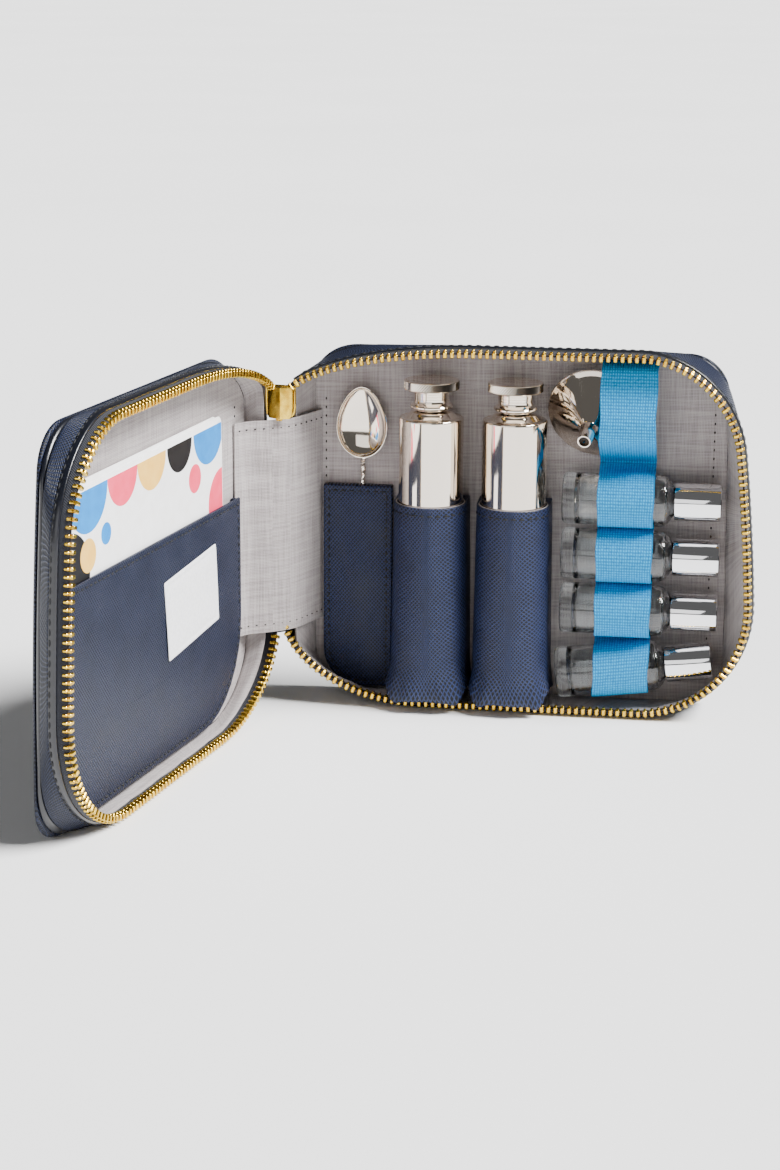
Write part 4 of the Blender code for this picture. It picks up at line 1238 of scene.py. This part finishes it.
# %% Vials and their caps
vial_w = 10.8 * mm
vial_lefts = (100.1 * mm, 100.9 * mm, 100.9 * mm, 100.9 * mm)
vial_heights = (16.8 * mm, 38.7 * mm, 59.1 * mm, 79.5 * mm)
vial_rises = (0.13, 0.0, 0.0, 0.0)
band_left = 113.6 * mm
band_width = 20.3 * mm
glass_profile = profile_mm([
    (0, 0.5), (5, 0.25), (8.2, 0.0), (9.2, 0.9), (9.2, 20), (9.2, 35.6), (8.6, 37.4), (6.6, 39.0),
    (5.1, 39.8), (5.0, 41), (5.0, 48.3), (3.4, 48.3), (3.4, 39.6), (5.2, 38.0), (7.4, 36.4),
    (7.9, 34.6), (7.9, 20), (7.9, 6.4), (6.9, 4.7), (4, 4.3), (0, 4.2)], 0.6, 4)
tube_profile = profile_mm([
    (0, 56.7), (6.0, 56.7), (6.55, 56.6), (6.75, 56.4), (6.8, 56.0), (6.8, 48), (6.8, 40.6),
    (6.65, 40.15), (5.3, 40.1), (5.3, 49.9), (0, 50.1)])
vial_seal_profile = profile_mm([
    (0, 48.6), (4.8, 48.6), (5.0, 48.8), (5.0, 49.6), (4.8, 49.8), (0, 49.8)])


def vial_height(index, u):
    """How high a vial's axis is at u."""
    return vial_heights[index] + vial_rises[index] * (u - band_left - band_width / 2)


for index, rise in enumerate(vial_rises):
    vial = "vial_%d" % (index + 1)
    lie = Matrix.Rotation(math.pi / 2 - math.atan(rise), 4, "Y")
    left = vial_lefts[index]
    centre = Matrix.Translation(base.at(left, vial_w, vial_height(index, left))) @ lie
    for part, profile, material, slot, steps in (
            ("_glass", glass_profile, clear_glass, "clear_glass", round_steps),
            ("_cap", tube_profile, chrome, "chrome_cap", round_steps),
            ("_seal", vial_seal_profile, white_rubber, "seal_rubber", round_steps // 2)):
        bm = turned(profile, steps, centre)
        body = vial if part == "_glass" else vial + part
        piece(vial + part + "_turned", bm, material, body, [vial + part], slot, 32)
print("vials lean", [round(math.degrees(math.atan(rise)), 1) for rise in vial_rises], "degrees")

# %% [markdown]
# ## Funnel
# The funnel is spun from thin steel with a rolled bead, and leans in the band with its spout
# towards the viewer. Its half profile runs up the outside and back down the inside.

# %% Funnel
funnel_profile = profile_mm([
    (16.7, 0.0), (17.15, 0.15), (17.3, 0.6), (17.1, 1.05), (16.75, 1.2), (15.5, 2.0), (10, 6.5),
    (4.2, 11.4), (3.1, 12.9), (2.9, 14.0), (2.4, 22.0), (1.8, 21.9), (2.3, 13.0), (3.3, 11.3),
    (9.4, 6.1), (15, 1.4), (16.1, 0.6)], 0.25, 3)
funnel_turn, funnel_lean = math.radians(8), math.radians(18)
bead_radius = 17.3 * mm
bead_back = 19.5 * mm
off_axis = math.acos(math.cos(funnel_lean) * math.cos(funnel_turn))
funnel_w = bead_back - bead_radius * math.sin(off_axis)
tilt = Matrix.Rotation(-funnel_turn, 4, "Z") @ Matrix.Rotation(math.pi / 2 + funnel_lean, 4, "X")
centre = Matrix.Translation(base.at(111.8 * mm, funnel_w, 110.6 * mm)) @ tilt
bm = turned(funnel_profile, 96, centre, closed=True)
piece("spun_funnel", bm, steel, "base", ["funnel"], "polished_steel", 30)
print("funnel leans", round(math.degrees(off_axis), 1), "degrees")

# %% [markdown]
# ## Elastic
# One band holds the four vials and then stretches over the funnel. Between the vials it is
# sewn down to the lining, which makes the deep creases. Its path is drawn side on, thickened
# along its normal, and its edges draw in a little where the band is stretched.

# %% The elastic band
crest = 9.78 * mm
bulge = 9.93 * mm
arc_steps = 24
ribbon_back = 19.7 * mm
band_steps = 10


def band_path(u):
    """The middle of the band side on, as (v, w, thickness)."""
    path = [(vial_height(0, u) - 10.3 * mm, ribbon_back, 0.4)]
    for index in range(4):
        v = vial_height(index, u)
        for angle in spread(math.radians(-8), math.radians(188), arc_steps):
            thick = 0.35 + 0.55 * max(0, math.sin(angle)) ** 0.5
            path.append((v - crest * math.cos(angle), vial_w - bulge * math.sin(angle), thick))
        following = vial_height(index + 1, u) if index < 3 else v + 2 * 10.1 * mm
        path.append(((v + following) / 2, ribbon_back - 3 * mm, 0.3))
    corners = (
        (92.3, 19.6), (97.5, 9.5), (103.4, -0.1), (110.0, -0.8), (119, 3.0), (127.2, 6.4),
        (128.05, 9.5), (128.1, 19.9))
    path[-1] = (90.7 * mm, ribbon_back - 1 * mm, 0.3)
    path += [(point.x * mm, point.y * mm, 0.85) for point in softened(corners, 5, 6)]
    return path


def ribbon(u, shift):
    """One edge line of the ribbon at u, offset to one side of its middle."""
    path = band_path(u)
    points = []
    for index, (v, w, thick) in enumerate(path):
        before = path[max(index - 1, 0)]
        after = path[min(index + 1, len(path) - 1)]
        along = Vector((after[0] - before[0], after[1] - before[1])).normalized()
        out = Vector((along.y, -along.x)) * shift * thick * mm / 2
        points.append((v + out.x, w + out.y))
    return points


rows = []
for share in spread(-0.5, 0.5, band_steps):
    u = band_left + band_width * (share + 0.5)
    row = []
    for v, w in ribbon(u, 1) + ribbon(u, -1)[::-1]:
        front_share = max(0, min(1, 1 - w / (18 * mm)))
        waist = 1 - 0.045 * front_share * math.cos(math.tau * (v - 92 * mm) / (38 * mm)) ** 2
        row.append(base.at(band_left + band_width * (0.5 + share * waist), w, v))
    rows.append(row)
bm = skin(rows, close_lines=True, fill=True)
piece("elastic_webbing", bm, blue_elastic, "base", ["elastic_band"], "blue_elastic", 70)
print("band width", round(band_width / mm, 1), "mm")

# %% [markdown]
# ## Card pocket
# The lid's pocket is one leather panel on a narrow leather gusset, open at the top. The
# panel is edge-stitched and bows out over the cards. Its gusset is a strip that follows the
# two sides and the foot, so that the pocket stays hollow.

# %% Card pocket
card_size = (15.7, 161.0, 4.0, 80.9)
card_corners = (34, 26, 0.6, 0.6)


def lid_panel(u, w, v):
    """The panel bows out a little over the cards."""
    across = max(0.0, 1 - ((u - 88 * mm) / (74 * mm)) ** 2)
    upwards = max(0.0, 1 - ((v - 46 * mm) / (44 * mm)) ** 2)
    bow = 0.5 * mm * across * upwards if w < 9.6 * mm else 0
    return lid.at(u, w - bow, v)


rings = [
    (0.3, 10.0), (0, 9.85), (0, 9.55), (0.12, 9.3), (0.5, 9.2), (1.7, 9.2), (2.1, 9.33), (2.5, 9.2),
    (4, 9.15), (9, 9.12), (18, 9.1), (28, 9.1)]
bm = plate(lid_panel, card_size, card_corners, rings)
flat_uv(bm, lid)
piece("card_pocket_panel", bm, navy_leather, "lid", ["card_pocket"], "navy_leather", 60)
points, facing = inset_line(lid_panel, card_size, card_corners, 2.1, 9.27)
stitches("card_pocket_stitches", points, facing, "lid", navy_thread, *edge_stitch)


def pocket_side(inset):
    """The panel's outline without its mouth, from the top left round the foot to the top right."""
    left, right, foot, top = card_size
    sides = [value * mm for value in (left + inset, right - inset, foot + inset, top - 0.4)]
    wide, tight = [
        tuple((reach - inset) * mm for reach in corner) for corner in ((34, 60), (26, 26))]
    return [
        (sides[0], sides[3]), *arc(sides, (0, 0), wide, math.pi, 1.5 * math.pi, corner_steps),
        *arc(sides, (1, 0), tight, 1.5 * math.pi, math.tau, corner_steps), (sides[1], sides[3])]


section = ((0.3, 9.95), (0.4, 11.0), (0.1, 12.1), (2.3, 12.1), (2.2, 11.0), (2.3, 9.95))
rows = [[lid.at(u, w * mm, v) for u, v in pocket_side(inset)] for inset, w in section]
bm = skin(rows, close_rows=True, fill=True)
piece("card_pocket_gusset", bm, navy_leather, "lid", slot="navy_leather")
print("card pocket depth", round(max(w for inset, w in section) - rings[-1][1], 2), "mm")

# %% [markdown]
# The label is a folded strip of woven satin, sewn on a little askew. Its border is a pressed
# fold line, and nothing is written on it.

# %% Sewn label
label_turn = Matrix.Rotation(math.radians(-5), 2)
label_middle = Vector((60.0, 53.9)) * mm
panel_front = 9.1 * mm


def on_label(u, w, v):
    """Places (u, w, v), measured from the label's middle, over the bowed panel."""
    local = label_turn @ Vector((u, v))
    curl = 0.25 * mm * math.sin(local.x * 90) * math.sin(local.y * 120)
    place = label_middle + local
    front = lid_panel(place.x, panel_front, place.y)
    return front + lid.at(0, w + curl / 3, 0) - lid.at(0, panel_front, 0)


label_size = (-21.5, 21.5, -14, 14)
label_corners = (0.8,) * 4
rings = [
    (0.1, 8.93), (0, 8.85), (0.05, 8.7), (0.3, 8.6), (1.6, 8.6), (1.9, 8.7), (2.2, 8.6), (5, 8.58),
    (9, 8.58)]
bm = plate(on_label, label_size, label_corners, rings)
piece("satin_label", bm, satin_label, "lid", ["sewn_label"], "label_white", 50)
points, facing = inset_line(on_label, label_size, label_corners, 1.0, 8.62)
stitches("label_stitches", points, facing, "lid", satin_label, 1.3 * mm, 0.7 * mm, 0.16 * mm)
print("label", label_size[1] - label_size[0], "mm wide")

# %% [markdown]
# ## Cards
# Three cards of coated board stand in the pocket, each a little larger than the one in front
# or turned against it, so that their edges show. Each is a thin plate, placed about its own
# middle.

# %% Cards
card_facts = (                     # left edge, width, height in mm, turn in degrees
    (29.0, 118.0, 84.2, -1.0), (27.0, 120.0, 85.8, -1.4), (30.5, 116.0, 87.0, -0.6))
card_foot = 25.6
card_front = 10.3
card_pitch = 0.6 * mm


def on_card(index):
    """What places (u, w, v), measured from a card's middle, where that card stands."""
    left, width, height, turn = card_facts[index]
    middle = Vector((left + width / 2, card_foot + height / 2)) * mm
    lean = Matrix.Rotation(math.radians(turn), 2)

    def place(u, w, v):
        point = middle + lean @ Vector((u, v))
        return lid.at(point.x, w + card_pitch * index, point.y)
    return place


for index, (left, width, height, turn) in enumerate(card_facts):
    size = (-width / 2, width / 2, -height / 2, height / 2)
    rings = [(0.06, 10.6), (0, 10.56), (0, 10.34)]
    rings += [(inset, card_front) for inset in (0.06, 3, 12)]
    bm = plate(on_card(index), size, (3,) * 4, rings)
    body = "recipe_card_%d" % (index + 1)
    piece(body + "_board", bm, card_white, body, [body], "card_white", 50)
    print(body, width, "x", height, "mm")

# %% [markdown]
# The front card carries a plain design of flat colour: discs and half discs along its top,
# sides and foot, round a white middle. Each shape is a circle cut by planes and extruded, a
# few hundredths of a millimetre above the card; each is a little higher than the one before,
# so that shapes that overlap don't flicker.

# %% Printed shapes on the front card
card_right, card_top = 59.0, 42.1
# Each has its ink, middle u and v, radius in mm, and which way a half is cut off.
printed = (
    (ink_black, 59, 17, 14.0, None), (ink_blue, 45, 42.1, 14.0, 90),
    (ink_cream, 46, 21, 5.5, None), (ink_pink, 20, 42.1, 11.0, 90),
    (ink_blue, 33, 25, 3.6, None), (ink_cream, -2, 42.1, 11.0, 90),
    (ink_black, -24, 42.1, 10.0, 90), (ink_pink, -36, 27, 5.0, None),
    (ink_blue, -48, 42.1, 12.5, 90), (ink_pink, -59, 14, 12.0, None),
    (ink_black, -48, 0, 4.5, None), (ink_cream, 59, -14, 13.0, 270),
    (ink_pink, 46, -42.1, 12.0, 270), (ink_black, 20, -42.1, 10.0, 270),
    (ink_blue, -4, -42.1, 11.0, 270), (ink_cream, -34, -42.1, 12.0, 270))
inks = [ink_pink, ink_blue, ink_black, ink_cream]
front_card = on_card(0)
shapes = []
for layer, (ink, u, v, radius, half) in enumerate(printed):
    shape = bmesh.new()
    bmesh.ops.create_circle(shape, cap_ends=True, segments=48, radius=radius * mm)
    bmesh.ops.translate(shape, vec=(u * mm, v * mm, 0), verts=shape.verts)
    cuts = [
        (card_right, 0, (1, 0, 0)), (-card_right, 0, (-1, 0, 0)), (0, card_top, (0, 1, 0)),
        (0, -card_top, (0, -1, 0))]
    if half:
        angle = math.radians(half)
        cuts.append((u, v, (math.cos(angle), math.sin(angle), 0)))
    for x, y, normal in cuts:
        bmesh.ops.bisect_plane(
            shape, geom=shape.verts[:] + shape.edges[:] + shape.faces[:],
            plane_co=(x * mm, y * mm, 0), plane_no=normal, clear_outer=True)
    top = new_verts(bmesh.ops.extrude_face_region(shape, geom=shape.faces[:]))
    for vert in shape.verts:
        lift = 0.03 + 0.004 * layer if vert in top else 0.0
        vert.co = front_card(vert.co.x, (card_front - lift) * mm, vert.co.y)
    for face in shape.faces:
        face.material_index = inks.index(ink)
    bmesh.ops.recalc_face_normals(shape, faces=shape.faces)
    shapes.append(shape)
bm = joined(shapes)
piece("card_print", bm, inks, "recipe_card_1", slot="card_white", recalculate=False)
print("printed shapes:", len(printed))

# %% [markdown]
# ## Floor
# The photograph is a catalogue shot on a white ground. Paper is matt and a little uneven.

# %% Floor
ground_reach = 30
paper, tree, shader = blank("pale_paper_ground", 0.9)
paint(tree, shader, clouds(tree, "Object", 3.0, 2.0), ((0.3, "#F6F6F6"), (0.7, "#FAFAFA")))
bm = bmesh.new()
bmesh.ops.create_grid(bm, x_segments=4, y_segments=4, size=ground_reach)
ground = piece("ground", bm, paper, None)
ground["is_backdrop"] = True
print("ground reaches", ground_reach, "m")

# %% [markdown]
# ## Light
# A strong soft light comes from the upper right, a broad panel in front is what the steel
# reflects, and the room above is dark.

# %% Light
world = bpy.data.worlds.new("studio")
bpy.context.scene.world = world
world.use_nodes = True
backdrop = world.node_tree.nodes["Background"]
feed(world.node_tree, backdrop, {"Color": linear("#FFFFFF"), "Strength": 0.12})


def lamp(name, kind, place, target, power):
    """A white lamp at a place, turned towards its target."""
    light = bpy.data.lights.new(name, kind)
    light.energy = power
    ob = bpy.data.objects.new(name, light)
    bpy.context.scene.collection.objects.link(ob)
    ob.location = place
    ob.rotation_euler = (Vector(target) - Vector(place)).to_track_quat("-Z", "Y").to_euler()
    return light


key = lamp("key_right", "SUN", (0.66, -0.09, 0.75), (0, 0, 0), 11.5)
key.angle = math.radians(26)
panel = lamp("front_left", "AREA", (-0.5, -1.4, 0.5), (0, 0, 0.05), 4.5)
panel.shape = "RECTANGLE"
panel.size, panel.size_y = 1.4, 0.6
print("lamps:", len(bpy.data.lights))

# %% [markdown]
# ## Camera
# The camera's place and lens were worked out from points of the case whose places are known.
# It is turned round, tipped up from looking straight down, and rolled by a trace.

# %% Camera
lens = bpy.data.cameras.new("camera")
lens.sensor_fit = "VERTICAL"
lens.sensor_height = 36
lens.lens = 77.1
camera = bpy.data.objects.new("camera", lens)
bpy.context.scene.collection.objects.link(camera)
turn, tip, roll = [
    Matrix.Rotation(math.radians(angle), 4, axis)
    for angle, axis in ((7.615, "Z"), (90 - 15.18, "X"), (0.383, "Z"))]
camera.matrix_world = Matrix.Translation((0.0734, -0.8799, 0.2847)) @ turn @ tip @ roll
bpy.context.scene.camera = camera
print("camera at", tuple(round(value, 3) for value in camera.location))

# %% [markdown]
# ## Sizes
# The dressed case must not outgrow the imported one, so both boxes are kept side by side.

# %% Sizes
boxes = {
    "cad": [list(corner) for corner in cad_box], "visual": [list(corner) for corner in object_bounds()]}
for name, (low, high) in boxes.items():
    print(name, [round((b - a) * 1000, 1) for a, b in zip(low, high)], "mm")
